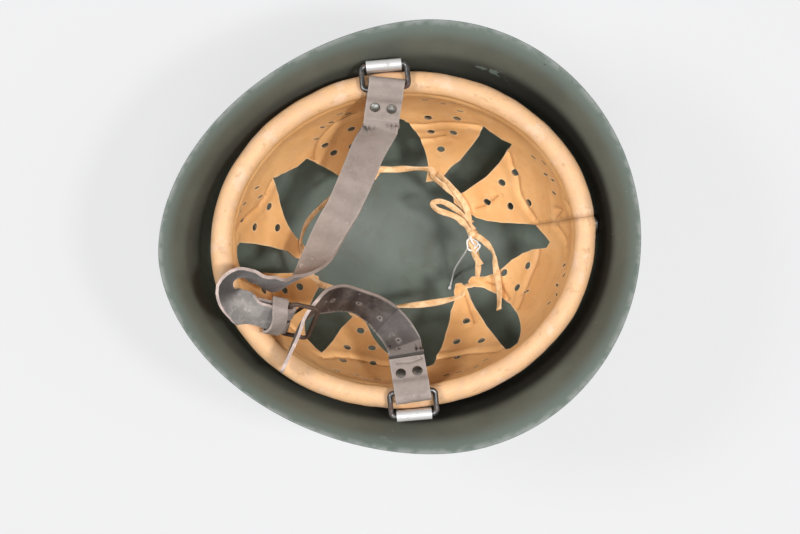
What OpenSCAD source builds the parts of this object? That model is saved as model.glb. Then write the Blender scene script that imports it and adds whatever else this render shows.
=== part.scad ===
// Bell-rimmed infantry helmet lying on its crown, bowl up, with a leather liner and a buckled chin strap.
// X runs from the front peak (-X) to the nape (+X), +Y is the wearer's left, +Z points out of the bowl.
// The origin lies under the middle of the helmet, level with the crown.

/* [Shell] */
// How much longer the rim is than the dome
flare_length = 40; // [34:1:50]
// How much wider the rim is than the dome
flare_width = 51; // [44:1:60]
// Height from the crown to the rim above the ears
shell_height = 158; // [154:1:164]
// Thickness of the pressed steel
steel = 1.2; // [1:0.1:1.5]
// How much longer the dome is than the head opening
room_length = 42; // [38:1:48]
// How much wider the dome is than the head opening
room_width = 30; // [28:1:37]
// Height of the flared skirt
skirt_height = 46; // [42:1:50]
// How far the rim at the front peak lies nearer the crown than above the ears
peak_lift = 7; // [3:0.5:10]
// How far the rim at the nape lies nearer the crown than above the ears
nape_lift = 3; // [0:0.5:5]

/* [Vents] */
// Outer diameter of the hollow rivet's tube
vent_tube = 8; // [7:0.25:9]
// Bore of the hollow rivet
vent_bore = 5.6; // [5:0.2:6.2]
// Diameter of the domed flange outside the shell
vent_flange = 13; // [11:0.5:14]
// Thickness of that flange
vent_flange_t = 1.6; // [1.2:0.1:2]
// Diameter of the washer inside the band
washer_width = 12; // [11:0.5:14]
// Thickness of that washer
washer_t = 0.8; // [0.6:0.1:1]

/* [Liner] */
// Length of the head opening inside the roll
head_length = 204; // [186:1:224]
// Width of the head opening inside the roll
head_width = 175; // [160:1:192]
// Depth of the leather bowl below the middle of the roll
bowl_depth = 95; // [88:1:100]
// How far the liner sits towards the nape
liner_shift = 2.5; // [0:0.5:4]
// Thickness of the liner leather
leather = 1.4; // [1.2:0.1:1.6]
// Width of the padded roll
roll_width = 13.6; // [13:0.1:14]
// Height of the padded roll
roll_height = 13; // [12:0.1:13.4]
// Depth of the roll's middle below the rim
roll_drop = 20; // [18:0.5:21]
// Height of the steel band
band_height = 27; // [24:0.5:29]
// Thickness of the steel band
band_t = 1; // [0.8:0.1:1.2]
// Angle at which the tongues start, measured down the bowl from the roll
tongue_start = 22; // [20:0.5:25]

/* [Chin strap] */
// Width of the strap
strap_w = 21.2; // [20:0.2:21.4]
// Thickness of the strap leather
strap_t = 2; // [1.6:0.1:2.2]
// Length of the rolled tube of each anchor clip
clip_w = 21; // [19:0.5:22]
// Thickness of the clip's sheet
clip_t = 1.2; // [1:0.1:1.4]
// Diameter of the ring's wire
ring_wire = 3.2; // [2.8:0.1:3.4]
// Width over each wire ring
ring_w = 30.4; // [29.6:0.2:31]
// Distance between the two bars of each ring
ring_reach = 14.5; // [14:0.1:15]
// Diameter of the rivet heads in the strap's end loops
strap_rivet = 6.4; // [5.6:0.2:7]

/* [Buckle] */
// Length of the buckle over its bar
buckle_l = 31; // [30.6:0.2:32]
// Width over the buckle's two long sides
buckle_w = 19; // [18.4:0.2:20]
// Diameter of the buckle's wire
buckle_wire = 2.6; // [2.2:0.1:2.8]
// Length of the prong from the bar's axis
prong_l = 16; // [14:0.5:16.5]
// Diameter of the prong
prong_wire = 2; // [1.6:0.1:2.2]
// Width of the keeper loop along the strap
keeper_w = 9; // [7:0.5:10]
// Thickness of the keeper's leather
keeper_t = 1.6; // [1.2:0.1:1.8]

/* [Hidden] */

// Clearances
gap = 0.3;
slip = 0.05;

// Colours
paint = [0.30, 0.33, 0.29];
bare_metal = [0.78, 0.77, 0.75];
dark_metal = [0.22, 0.20, 0.18];
tan_leather = [0.85, 0.62, 0.40];
grey_leather = [0.50, 0.46, 0.43];

// Shell form: its size from the head's, where the widest section lies, and how round the outlines are
dome_length = head_length + room_length;
dome_width = head_width + room_width;
shell_length = dome_length + flare_length;
shell_width = dome_width + flare_width;
rim_shift = 20;
dome_shift = 8;
crown_shift = 2;
peak_round = 1.85;
dome_round = 2.25;
around = 72;
dome_steps = 10;
skirt_steps = 7;
crown_flat = 0.05;
dome_height = shell_height - skirt_height;

function power(v, p) = sign(v) * pow(abs(v), p);
function mix(a, b, f) = a + (b - a) * f;
function unit(v) = v / norm(v);
function across(v, w) = unit(v - (v * w) * w);

// An outline with a round rear half and a slightly pointed front half
function outline(t, length, width, shift, round_front) =
    let (p = cos(t) < 0 ? 2 / round_front : 1, reach = length / 2 + (cos(t) < 0 ? shift : -shift))
    [shift + reach * power(cos(t), p), width / 2 * power(sin(t), p)];
function dome_outline(t) = outline(t, dome_length, dome_width, dome_shift, (peak_round + 2) / 2);
function rim_outline(t) = outline(t, shell_length, shell_width, rim_shift, peak_round);
function rim_z(t) = shell_height - peak_lift * pow(max(0, -cos(t)), 2) - nape_lift * pow(max(0, cos(t)), 2);
function flare(q) = 0.82 * pow(q, 1.7) + 0.18 * pow(q, 5);
function dome_drop(s) = 1 - pow(max(0, cos(90 * s)), 2 / dome_round);

// Outer surface of the shell: s goes from 0 at the crown over 1, where the skirt starts, to 2 at the rim
function shell_point(t, s) =
    s <= 1
    ? let (xy = mix([crown_shift, 0], dome_outline(t), pow(sin(90 * s), 2 / dome_round)),
           flat = dome_drop(crown_flat))
      [xy.x, xy.y, dome_height * (dome_drop(s) - flat) / (1 - flat)]
    : let (xy = mix(dome_outline(t), rim_outline(t), flare(s - 1)))
      [xy.x, xy.y, mix(dome_height, rim_z(t), s - 1)];
function shell_normal(t, s) =
    let (d = 0.02, e = 0.5, low = max(crown_flat, s - d), high = min(2, s + d))
    unit(cross(shell_point(t + e, s) - shell_point(t - e, s), shell_point(t, high) - shell_point(t, low)));
function shell_inside(t, s) = s <= crown_flat
    ? shell_point(t, s) + [0, 0, steel]
    : shell_point(t, s) - steel * shell_normal(t, s);
shell_levels = concat([for (i = [0 : dome_steps]) mix(crown_flat, 1, i / dome_steps)],
    [for (i = [1 : skirt_steps]) 1 + i / skirt_steps]);
turns = [for (i = [0 : around - 1]) 360 * i / around];

// A skin over rings of points, facing outwards whichever way the rings run.
// Closed rings join the last to the first, open ones are capped
module skin(rings, closed = false) {
    n = len(rings[0]);
    m = len(rings);
    points = [for (r = rings) each r];
    sides = [for (i = [0 : closed ? m - 1 : m - 2], j = [0 : n - 1])
        let (k = (i + 1) % m, l = (j + 1) % n, a = i * n + j, b = i * n + l, c = k * n + l, d = k * n + j)
        each [[a, b, c], [a, c, d]]];
    caps = closed ? [] : [for (j = [0 : n / 2 - 2])
        let (p = j, q = j + 1, r = n - 2 - j, s = n - 1 - j, e = (m - 1) * n)
        each concat(q == r ? [] : [[p, r, q], [e + p, e + q, e + r]], [[p, s, r], [e + p, e + r, e + s]])];
    faces = concat(sides, caps);
    spans = [for (f = faces) points[f[0]] * cross(points[f[1]], points[f[2]])];
    inward = spans * [for (f = faces) 1] > 0;
    polyhedron(points = points, faces = inward ? [for (f = faces) [f[0], f[2], f[1]]] : faces, convexity = 8);
}

module shell_body() {
    skin(concat([for (s = shell_levels) [for (t = turns) shell_point(t, s)]],
        [for (i = [len(shell_levels) - 1 : -1 : 0]) [for (t = turns) shell_inside(t, shell_levels[i])]]));
}

// Places something on the wall of the shell, its Z axis along the outward normal
module at_wall(t, s) {
    p = shell_point(t, s);
    n = shell_normal(t, s);
    translate(p) rotate([0, acos(n.z), atan2(n.y, n.x)]) children();
}

// Vents: two above the ears, one at the nape
vent_places = [105, 255, 0];
vent_drop = 25;
vent_z = shell_height - roll_drop - vent_drop;
vent_level = 1 + (vent_z - dome_height) / skirt_height;

module shell() {
    color(paint) difference() {
        shell_body();
        for (t = vent_places) at_wall(t, vent_level)
            cylinder(h = 20, r = vent_tube / 2 + slip, center = true, $fn = 32);
    }
}

// Liner bowl: az goes round from the nape, drop goes down from the roll, off lies outside the inner face
roll_z = shell_height - roll_drop;
bowl_a = head_length / 2;
bowl_b = head_width / 2;
function bowl(az, drop, off = 0) = [liner_shift + (bowl_a + off) * cos(drop) * cos(az),
    (bowl_b + off) * cos(drop) * sin(az), roll_z - (bowl_depth + off) * sin(drop)];

// The hoop in the middle of the roll, with an offset along its normal and a height
roll_a = bowl_a + roll_width / 2;
roll_b = bowl_b + roll_width / 2;
function hoop_normal(az) = unit([cos(az) / roll_a, sin(az) / roll_b]);
function hoop(az, off, z) =
    let (n = hoop_normal(az)) [liner_shift + roll_a * cos(az) + off * n.x, roll_b * sin(az) + off * n.y, z];
hoop_steps = 60;
hoop_turns = [for (i = [0 : hoop_steps - 1]) 360 * i / hoop_steps];

// Steel band, with its top edge under the felt
padding_h = roll_height / 2 - leather - gap;
band_top = roll_z - padding_h - gap;
band_bottom = band_top - band_height;
clip_rivet_z = band_bottom + 4.6;
clip_rivet_x = 6;
clip_rivet_r = 1.2;
module liner_band() {
    color(dark_metal) difference() {
        translate([0, 0, band_bottom]) linear_extrude(band_height) difference() {
            polygon([for (az = turns) let (p = hoop(az, band_t / 2, 0)) [p.x, p.y]]);
            polygon([for (az = turns) let (p = hoop(az, -band_t / 2, 0)) [p.x, p.y]]);
        }
        for (t = vent_places) at_wall(t, vent_level)
            translate([0, 0, -40]) cylinder(h = 40, r = vent_tube / 2 + slip, $fn = 32);
        for (side = [1, -1], x = [1, -1])
            translate([x * clip_rivet_x, side * roll_b, clip_rivet_z]) rotate([90, 0, 0])
                cylinder(h = 20, r = clip_rivet_r + slip, center = true, $fn = 24);
    }
}

// Room between the shell and the band at a vent, along the vent's axis
function band_gap(t) =
    let (p = shell_inside(t, vent_level), n = -shell_normal(t, vent_level),
         a = roll_a + band_t / 2, b = roll_b + band_t / 2,
         q = [(p.x - liner_shift) / a, p.y / b], v = [n.x / a, n.y / b])
    (-(q * v) - sqrt(pow(q * v, 2) - (v * v) * (q * q - 1))) / (v * v);

// Hollow rivets: a flange outside the shell, a tube through shell, spacer, band and washer.
// The skirt is hollow there, so the flat flange stands off it by its seat
flange_seat = 0.9;
module vent_rivets() {
    color(paint) for (t = vent_places) at_wall(t, vent_level) difference() {
        depth = steel + band_gap(t) + band_t + washer_t + 4 * gap;
        union() {
            translate([0, 0, flange_seat])
                cylinder(h = vent_flange_t, r1 = vent_flange / 2, r2 = vent_tube / 2 + 1, $fn = 48);
            translate([0, 0, -depth]) cylinder(h = depth + flange_seat + gap, r = vent_tube / 2, $fn = 32);
        }
        cylinder(h = 60, r = vent_bore / 2, center = true, $fn = 32);
    }
}

module rivet_washers() {
    color(bare_metal) for (t = vent_places) at_wall(t, vent_level)
        translate([0, 0, -steel - band_gap(t) - band_t - washer_t - 2 * gap]) difference() {
            cylinder(h = washer_t, r = washer_width / 2, $fn = 32);
            cylinder(h = 9, r = vent_tube / 2 + slip, center = true, $fn = 32);
        }
}

// Spacer tubes that hold the band off the shell
module band_spacers() {
    color(dark_metal) for (t = vent_places) at_wall(t, vent_level)
        translate([0, 0, gap - steel - band_gap(t)]) difference() {
            cylinder(h = band_gap(t) - 2 * gap, r = washer_width / 2 - 0.5, $fn = 32);
            cylinder(h = 60, r = vent_tube / 2 + slip, center = true, $fn = 32);
        }
}

// Felt core of the roll, standing on the band
module rim_padding() {
    w = roll_width / 2 - leather - gap;
    color("gainsboro") skin([for (az = hoop_turns)
        [for (a = [0 : 45 : 315]) hoop(az, w * cos(a), roll_z + padding_h * sin(a))]], true);
}

// Leather, from the tongues' start up the wall, over the roll and down a flap outside the band
flap_off = band_t / 2 + gap;
flap_drop = 19;
wall_drops = [tongue_start, tongue_start * 0.68, tongue_start * 0.36];
roll_angles = [180 : -30 : -30];
function leather_section(az) = concat(
    [for (d = wall_drops) bowl(az, d)],
    [for (a = roll_angles) hoop(az, roll_width / 2 * cos(a), roll_z + roll_height / 2 * sin(a))],
    [for (d = [11, flap_drop]) hoop(az, flap_off + leather, roll_z - d)],
    [for (d = [flap_drop, 11]) hoop(az, flap_off, roll_z - d)],
    [for (a = [-30 : 30 : 180]) hoop(az, (roll_width / 2 - leather) * cos(a),
        roll_z + (roll_height / 2 - leather) * sin(a))],
    [for (i = [2 : -1 : 0]) bowl(az, wall_drops[i], leather)]);
module liner_leather() {
    color(tan_leather) skin([for (az = hoop_turns) leather_section(az)], true);
}

// Tongues: where the base runs from and to, where the tip lies, and how far down the bowl it reaches
tongue_places = [[3, 41, 36, 62], [55, 88, 66, 56], [93, 131, 105, 56], [147, 185, 178, 52],
    [190, 228, 206, 50], [234, 264, 238, 54], [277, 309, 313, 59], [319, 353, 322, 57]];
tongue_tip = 4.5;
module tongue(i) {
    p = tongue_places[i];
    top = tongue_start + 0.2;
    color(tan_leather) skin([for (v = [0 : 0.2 : 1])
        let (edge = [for (u = [0 : 0.25 : 1])
            [mix(mix(p[0], p[1], u), p[2] + (2 * u - 1) * tongue_tip, pow(v, 1.2)), mix(top, p[3], v)]])
        concat([for (e = edge) bowl(e.x, e.y)], [for (j = [4 : -1 : 0]) bowl(edge[j].x, edge[j].y, leather)])]);
}
module tongue_nape_left() { tongue(0); }
module tongue_side_left_rear() { tongue(1); }
module tongue_side_left_front() { tongue(2); }
module tongue_brow_left() { tongue(3); }
module tongue_brow_right() { tongue(4); }
module tongue_side_right_front() { tongue(5); }
module tongue_side_right_rear() { tongue(6); }
module tongue_nape_right() { tongue(7); }

// The stations of the straps and the thread were laid out on a head and a roll of this length, width and
// height, and follow them
laid_length = 204;
laid_width = 175;
laid_height = 138;
function on_head(v) = [v[0] * head_length / laid_length, v[1] * head_width / laid_width];
function fitted(v) = concat(on_head(v), v[2] + roll_z - laid_height, [for (k = [3 : 1 : len(v) - 1]) v[k]]);
function draped(v) = concat(on_head(v), v[2] * roll_z / laid_height);

// A smooth curve through stations, which may carry more than a place
function curve(list, s) =
    let (i = min(len(list) - 2, max(0, floor(s))), f = s - i,
         a = list[max(0, i - 1)], b = list[i], c = list[i + 1], d = list[min(len(list) - 1, i + 2)])
    b + f / 2 * (c - a + f * (2 * a - 5 * b + 4 * c - d + f * (3 * b - a - 3 * c + d)));
function place(v) = [v[0], v[1], v[2]];
function width_way(v) = [v[3], v[4], v[5]];
function heading(list, s) = unit(place(curve(list, min(len(list) - 1, s + 0.05)))
    - place(curve(list, max(0, s - 0.05))));

// Flat thong or round cord along stations, its flat side towards up
module thong(list, w, t, steps, sides, up = [0, 0, 1]) {
    skin([for (i = [0 : steps])
        let (s = i * (len(list) - 1) / steps, p = place(curve(list, s)), h = heading(list, s),
             u = across(up, h), v = cross(h, u))
        [for (k = [0 : sides - 1]) p + w / 2 * cos(360 * k / sides) * v + t / 2 * sin(360 * k / sides) * u]]);
}

// Lace through the tips of the tongues: it lies on the inner face, one tip after the other
lace_w = 3;
lace_t = 1.4;
lace_lift = 0.75;
lace_off = -lace_t / 2 - gap - lace_lift;
tip_back = 3.5;
function lace_tip(i) = let (p = tongue_places[i]) bowl(p[2], p[3] - tip_back, lace_off);
knot_at = bowl(2, 62, -4.5);
knot_r = 4;
lace_points = concat([bowl(12, 62.5, -1.2)], [for (i = [0 : 6]) each [lace_tip(i), (lace_tip(i) + lace_tip(i + 1)) / 2]],
    [lace_tip(7), bowl(344, 61, -1.2)]);
module crown_lace() {
    color(tan_leather) thong(lace_points, lace_w, lace_t, 54, 6, [0, 0, 1]);
}

// Knot with a bow loop, a second strand from the left rear tongue and a long tail, by angle, drop and height
bow_loop = [[4, 63, -5.5], [12, 64, -6.2], [24, 66, -7], [42, 70, -6], [52, 69, -5], [44, 66, -4.5], [24, 64, -4],
    [5, 61.8, -3.6]];
second_strand = [[4.5, 62, -4.8], [14, 62.5, -4], [30, 60.5, -3.6], [52, 58, -3.2], [62, 56, -3]];
long_tail = [[0, 61, -4.4], [-6, 57, -4.5], [-14, 53, -4], [-24, 50, -3.6], [-36, 43, -3.2], [-45, 36, -3]];
short_tail = [[-0.5, 62.6, -5], [-8, 63, -5], [-15, 62, -4], [-25, 57, -3.4]];
function hung(list) = [for (p = list) bowl(p[0], p[1], p[2])];
module lace_bow() {
    color(tan_leather) {
        translate(knot_at) sphere(r = knot_r, $fn = 24);
        thong(hung(bow_loop), lace_w, lace_t, 20, 6);
        thong(hung(second_strand), lace_w, lace_t, 12, 6);
        thong(hung(long_tail), lace_w, lace_t, 14, 6);
        thong(hung(short_tail), lace_w, lace_t, 6, 6);
    }
}

// White thread that hangs from the knot and lies on the crown
thread_d = 1.2;
thread_stations = [[47, -1.5, 54.2], [45.6, -5, 51], [43, -10, 42], [39.5, -15, 30], [36, -20, 18], [34, -26, 9],
    [31.5, -33, 9.5]];
thread_route = [for (v = thread_stations) draped(v)];
module lace_thread() {
    color("white") thong(thread_route, thread_d, thread_d, 26, 8, [1, 0, 0]);
}

// Anchor clips: a plate riveted to the band, bent out round the roll and rolled into a tube
wire_play = 0.4;
tube_r = ring_wire / 2 + wire_play + clip_t / 2;
clip_low_y = roll_b + band_t / 2 + gap + clip_t / 2;
clip_high_y = roll_b + roll_width / 2 + gap + clip_t / 2;
tube_y = clip_high_y + tube_r;
tube_z = roll_z + 8.2;
module strip(points, t) {
    for (i = [0 : len(points) - 2]) {
        d = points[i + 1] - points[i];
        translate(points[i]) rotate(atan2(d.y, d.x)) translate([0, -t / 2]) square([norm(d), t]);
    }
    for (i = [1 : len(points) - 2]) translate(points[i]) circle(d = t, $fn = 24);
}
module clip() {
    color(bare_metal) difference() {
        translate([-clip_w / 2, 0, 0]) rotate([90, 0, 90]) linear_extrude(clip_w) {
            strip([[clip_low_y, band_bottom + 1.2], [clip_low_y, roll_z - flap_drop - 4.5],
                [clip_high_y, roll_z - 11], [clip_high_y, tube_z]], clip_t);
            translate([tube_y, tube_z]) difference() {
                circle(r = tube_r + clip_t / 2, $fn = 48);
                circle(r = tube_r - clip_t / 2, $fn = 48);
            }
        }
        for (x = [1, -1]) translate([x * clip_rivet_x, clip_low_y, clip_rivet_z]) rotate([90, 0, 0])
            cylinder(h = 4, r = clip_rivet_r + slip, center = true, $fn = 24);
    }
}
module left_clip() { clip(); }
module right_clip() { mirror([0, 1, 0]) clip(); }

module clip_rivets() {
    band_sag = 0.25;
    color(bare_metal) for (side = [0, 1], x = [1, -1]) mirror([0, side, 0])
        translate([x * clip_rivet_x, clip_low_y + clip_t / 2, clip_rivet_z]) rotate([-90, 0, 0]) {
            head = 2.2;
            grip = clip_t + 2 * gap + band_t + band_sag;
            translate([0, 0, slip]) cylinder(h = 0.9, r1 = head, r2 = head * 0.7, $fn = 24);
            translate([0, 0, -grip]) cylinder(h = grip + slip, r = clip_rivet_r, $fn = 24);
            translate([0, 0, -grip - 0.8]) cylinder(h = 0.8, r = head, $fn = 24);
        }
}

// Wire rings: the outer bar turns in the clip's tube, the inner bar carries the strap
ring_slope = 11;
ring_bend = 2.6;
bar_y = tube_y - ring_reach * cos(ring_slope);
bar_z = tube_z + ring_reach * sin(ring_slope);
module wire_loop(w, l, wire, bend) {
    for (m = [0, 1]) mirror([m, 0, 0]) {
        translate([w / 2, bend, 0]) rotate([-90, 0, 0]) cylinder(h = l - 2 * bend, d = wire, $fn = 32);
        for (k = [0, 1]) translate([0, k * l, 0]) mirror([0, k, 0])
            translate([w / 2 - bend, bend, 0]) rotate([0, 0, -90])
                rotate_extrude(angle = 90, $fn = 48) translate([bend, 0]) circle(d = wire, $fn = 32);
    }
    for (y = [0, l]) translate([0, y, 0]) rotate([0, 90, 0])
        cylinder(h = w - 2 * bend, d = wire, center = true, $fn = 32);
}
module ring() {
    color(dark_metal) translate([0, tube_y, tube_z]) rotate([180 - ring_slope, 0, 0])
        wire_loop(ring_w - ring_wire, ring_reach, ring_wire, ring_bend);
}
module left_ring() { ring(); }
module right_ring() { mirror([0, 1, 0]) ring(); }

// End loops: the strap's end is folded round the inner bar and riveted to itself.
// Their own X axis runs down the strap, Y along its width and Z away from the bowl
loop_slope = 28;
loop_spread = ring_wire / 2 + gap + strap_t / 2;
ply = strap_t / 2 + 0.05;
left_lean = 12;
right_lean = 4;
left_lap = 17;
right_lap = 22;
loop_run = 3.2;
rivet_run = 12;
rivet_pitch = 10;
rivet_shank = 1.4;
function loop_fall(side) = [0, -side * cos(loop_slope), -sin(loop_slope)];
function loop_way(side, lean) = cos(lean) * loop_fall(side) - [sin(lean), 0, 0];
function loop_width(side, lean) = side * (sin(lean) * loop_fall(side) + [cos(lean), 0, 0]);
function loop_up(side, lean) = cross(loop_way(side, lean), loop_width(side, lean));
module local(x, y, z, p) {
    multmatrix([[x.x, y.x, z.x, p.x], [x.y, y.y, z.y, p.y], [x.z, y.z, z.z, p.z], [0, 0, 0, 1]]) children();
}
module at_bar(side, lean) {
    local(loop_way(side, lean), loop_width(side, lean), loop_up(side, lean), [0, side * bar_y, bar_z]) children();
}
// Half of the folded strap's outline, d away from the middle of its leather
fold_back = 2.8;
open_to = 4.6;
closed_from = 8.4;
function fold_side(lap, s, d) = concat(
    [[lap + loop_run, s * (ply + d)], [closed_from, s * (ply + d)], [open_to, s * (loop_spread + d)]],
    [for (a = [90 : 22.5 : 270]) [(loop_spread + d) * cos(a) - fold_back, s * (loop_spread + d) * sin(a)]],
    [[open_to, -s * (loop_spread + d)], [closed_from, -s * (ply + d)], [lap, -s * (ply + d)]]);
module end_loop(lap, long_side) {
    inner = fold_side(lap, long_side, -strap_t / 2);
    color(grey_leather) difference() {
        translate([0, strap_w / 2, 0]) rotate([90, 0, 0]) linear_extrude(strap_w)
            polygon(concat(fold_side(lap, long_side, strap_t / 2), [for (i = [len(inner) - 1 : -1 : 0]) inner[i]]));
        for (y = [-1, 1]) translate([rivet_run, y * rivet_pitch / 2, 0])
            cylinder(h = 12, r = rivet_shank + slip, center = true, $fn = 24);
    }
}
module loop_rivets() {
    color(dark_metal) for (y = [-1, 1]) translate([rivet_run, y * rivet_pitch / 2, 0]) {
        reach = 2 * ply + slip;
        cylinder(h = 2 * reach, r = rivet_shank, center = true, $fn = 24);
        translate([0, 0, reach]) cylinder(h = 1.2, r1 = strap_rivet / 2, r2 = strap_rivet / 4, $fn = 32);
        translate([0, 0, -reach - 0.6]) cylinder(h = 0.6, r = strap_rivet / 2, $fn = 32);
    }
}
module left_end_loop() { at_bar(1, left_lean) end_loop(left_lap, 1); }
module right_end_loop() { at_bar(-1, right_lean) end_loop(right_lap, -1); }
module left_loop_rivets() { at_bar(1, left_lean) loop_rivets(); }
module right_loop_rivets() { at_bar(-1, right_lean) loop_rivets(); }

// Buckle frame of reference: X from the near bar to the far side, Y along the bar, Z towards the grain side
buckle_at = fitted([-70.5, -40.4, 152]);
buckle_y = unit([0.35, 0.60, 0.72]);
buckle_x = across([0.93, -0.30, -0.20], buckle_y);
buckle_z = cross(buckle_x, buckle_y);
module at_buckle() { local(buckle_x, buckle_y, buckle_z, buckle_at) children(); }
function by_buckle(v) = buckle_at + v.x * buckle_x + v.y * buckle_y + v.z * buckle_z;
sleeve_r = buckle_wire / 2 + gap + strap_t / 2;

// Straps: places on the middle line, and the way of the width, from the end loops on
lead = 3;
function strap_root(side, lean, lap) = [for (k = [0 : 2]) concat([0, side * bar_y, bar_z]
    + (lap + loop_run + gap + k * lead) * loop_way(side, lean) + side * ply * loop_up(side, lean),
    side * loop_width(side, lean))];
left_route = concat(strap_root(1, left_lean, left_lap), [
    fitted([-13.5, 57, 125, 0.93, -0.35, 0.05]),
    fitted([-22.5, 41, 111, 0.90, -0.40, 0.10]),
    fitted([-32, 24.5, 105, 0.85, -0.50, 0.20]),
    fitted([-42, 10, 105, 0.80, -0.50, 0.35]),
    fitted([-51, -5, 110.5, 0.65, -0.45, 0.60]),
    fitted([-60, -15.5, 120.5, 0.35, -0.10, 0.93]),
    fitted([-72, -20, 131.5, 0.05, 0.25, 0.97]),
    fitted([-82.5, -16.5, 143, -0.10, 0.25, 0.96]),
    fitted([-91.5, -12.8, 152, -0.15, 0.15, 0.97]),
    fitted([-98.7, -13.6, 158, -0.25, 0.05, 0.96]),
    fitted([-102.8, -18.8, 160.5, -0.40, -0.10, 0.91]),
    fitted([-101.6, -25, 161, -0.48, -0.42, 0.77]),
    fitted([-97.3, -30.3, 159.5, -0.45, -0.72, 0.53]),
    concat(by_buckle([-20, 0, ply]), -buckle_y),
    concat(by_buckle([-1, 0, sleeve_r]), -buckle_y)]);
right_route = concat(strap_root(-1, right_lean, right_lap), [
    fitted([-6.2, -55, 129, 0.88, 0.44, 0.15]),
    fitted([-11.2, -48, 126.5, 0.80, 0.52, 0.30]),
    fitted([-17.5, -41.5, 125, 0.60, 0.60, 0.52]),
    fitted([-25, -36.3, 125, 0.30, 0.66, 0.69]),
    fitted([-31.5, -33.5, 126.5, 0.10, 0.65, 0.75]),
    fitted([-39, -31.8, 131, -0.05, 0.62, 0.78]),
    fitted([-47.5, -32.3, 138.5, 0, 0.50, 0.86]),
    fitted([-54.5, -36, 144.5, 0.15, 0.30, 0.94]),
    concat(by_buckle([9.8, 0, 0.6]), [0.24, 0.30, 0.92]),
    fitted([-67, -56, 155.5, 0.20, 0.20, 0.96]),
    fitted([-72.5, -66.5, 159, 0.10, 0.10, 0.99]),
    fitted([-75.5, -71.5, 159.5, 0.10, 0.10, 0.99])]);
bend_end = 4;
cut = 0.02;
module ribbon(route, from, to, steps) {
    c = 0.5;
    w = strap_w / 2;
    t = strap_t / 2;
    color(grey_leather) skin([for (i = [0 : steps])
        let (s = mix(from, to, i / steps), v = curve(route, s), h = heading(route, s),
             a = across(width_way(v), h), b = cross(h, a))
        [for (q = [[w, t - c], [w - c, t], [c - w, t], [-w, t - c], [-w, c - t], [c - w, -t], [w - c, -t], [w, c - t]])
            place(v) + q.x * a + q.y * b]]);
}
bend_steps = 10;
module left_strap_bend() { ribbon(left_route, cut, bend_end, bend_steps); }
module right_strap_bend() { ribbon(right_route, cut, bend_end, bend_steps); }
module right_strap() { ribbon(right_route, bend_end + cut, len(right_route) - 1, 30); }

// The left strap ends in a sleeve round the buckle's bar, open in the middle for the prong,
// and comes back under itself
prong_slot = 5;
slot_back = 5.2;
module left_strap() {
    lower = [concat(by_buckle([-20, 0, -ply]), buckle_y), concat(by_buckle([-12, 0, -ply]), buckle_y),
        concat(by_buckle([-1, 0, -sleeve_r]), buckle_y)];
    difference() {
        union() {
            ribbon(left_route, bend_end + cut, len(left_route) - 1, 42);
            ribbon(lower, 0, 2, 5);
            at_buckle() color(grey_leather) rotate([90, 0, 0])
                cylinder(h = strap_w, r = sleeve_r + strap_t / 2, center = true, $fn = 40);
        }
        at_buckle() {
            rotate([90, 0, 0]) cylinder(h = strap_w + 4, r = sleeve_r - strap_t / 2, center = true, $fn = 40);
            translate([-slot_back, -prong_slot / 2, -6]) cube([12, prong_slot, 12]);
        }
    }
}

// Buckle: a wire frame, with a prong on its near bar
prong_rest = 50;
frame_l = buckle_l - buckle_wire;
frame_w = buckle_w - buckle_wire;
module buckle_frame() {
    color(dark_metal) at_buckle() rotate([0, 0, -90]) wire_loop(frame_l, frame_w, buckle_wire, 3);
}
module buckle_prong() {
    eye = buckle_wire / 2 + slip;
    color(dark_metal) at_buckle() rotate([0, prong_rest, 0]) difference() {
        union() {
            rotate([90, 0, 0]) cylinder(h = prong_wire + 0.6, r = eye + 1.5, center = true, $fn = 32);
            rotate([0, 90, 0]) cylinder(h = prong_l - prong_wire / 2, d = prong_wire, $fn = 24);
            translate([prong_l - prong_wire / 2, 0, 0]) sphere(d = prong_wire, $fn = 24);
        }
        rotate([90, 0, 0]) cylinder(h = 9, r = eye, center = true, $fn = 32);
    }
}

// Keeper: a leather band round both layers of the left strap, behind the buckle
keeper_run = -11;
module keeper_loop() {
    half_w = strap_w / 2 + 0.6;
    half_h = sleeve_r + strap_t / 2 + gap;
    color(grey_leather) at_buckle() translate([keeper_run, 0, 0]) rotate([90, 0, 90])
        linear_extrude(keeper_w) difference() {
            rounded(half_w + keeper_t, half_h + keeper_t, 2.4);
            rounded(half_w, half_h, 1);
        }
}
module rounded(x, y, r) {
    square([2 * x, 2 * (y - r)], center = true);
    square([2 * (x - r), 2 * y], center = true);
    for (i = [-1, 1], j = [-1, 1]) translate([i * (x - r), j * (y - r)]) circle(r = r, $fn = 32);
}

shell();
vent_rivets();
rivet_washers();
liner_band();
band_spacers();
rim_padding();
liner_leather();
tongue_nape_left();
tongue_side_left_rear();
tongue_side_left_front();
tongue_brow_left();
tongue_brow_right();
tongue_side_right_front();
tongue_side_right_rear();
tongue_nape_right();
crown_lace();
lace_bow();
lace_thread();
left_clip();
right_clip();
clip_rivets();
left_ring();
right_ring();
left_end_loop();
right_end_loop();
left_loop_rivets();
right_loop_rivets();
left_strap_bend();
right_strap_bend();
left_strap();
right_strap();
keeper_loop();
buckle_frame();
buckle_prong();
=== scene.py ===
"""Dresses the bell-rimmed steel helmet: painted shell, leather liner, chin strap, buckle, lace and stage."""

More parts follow.
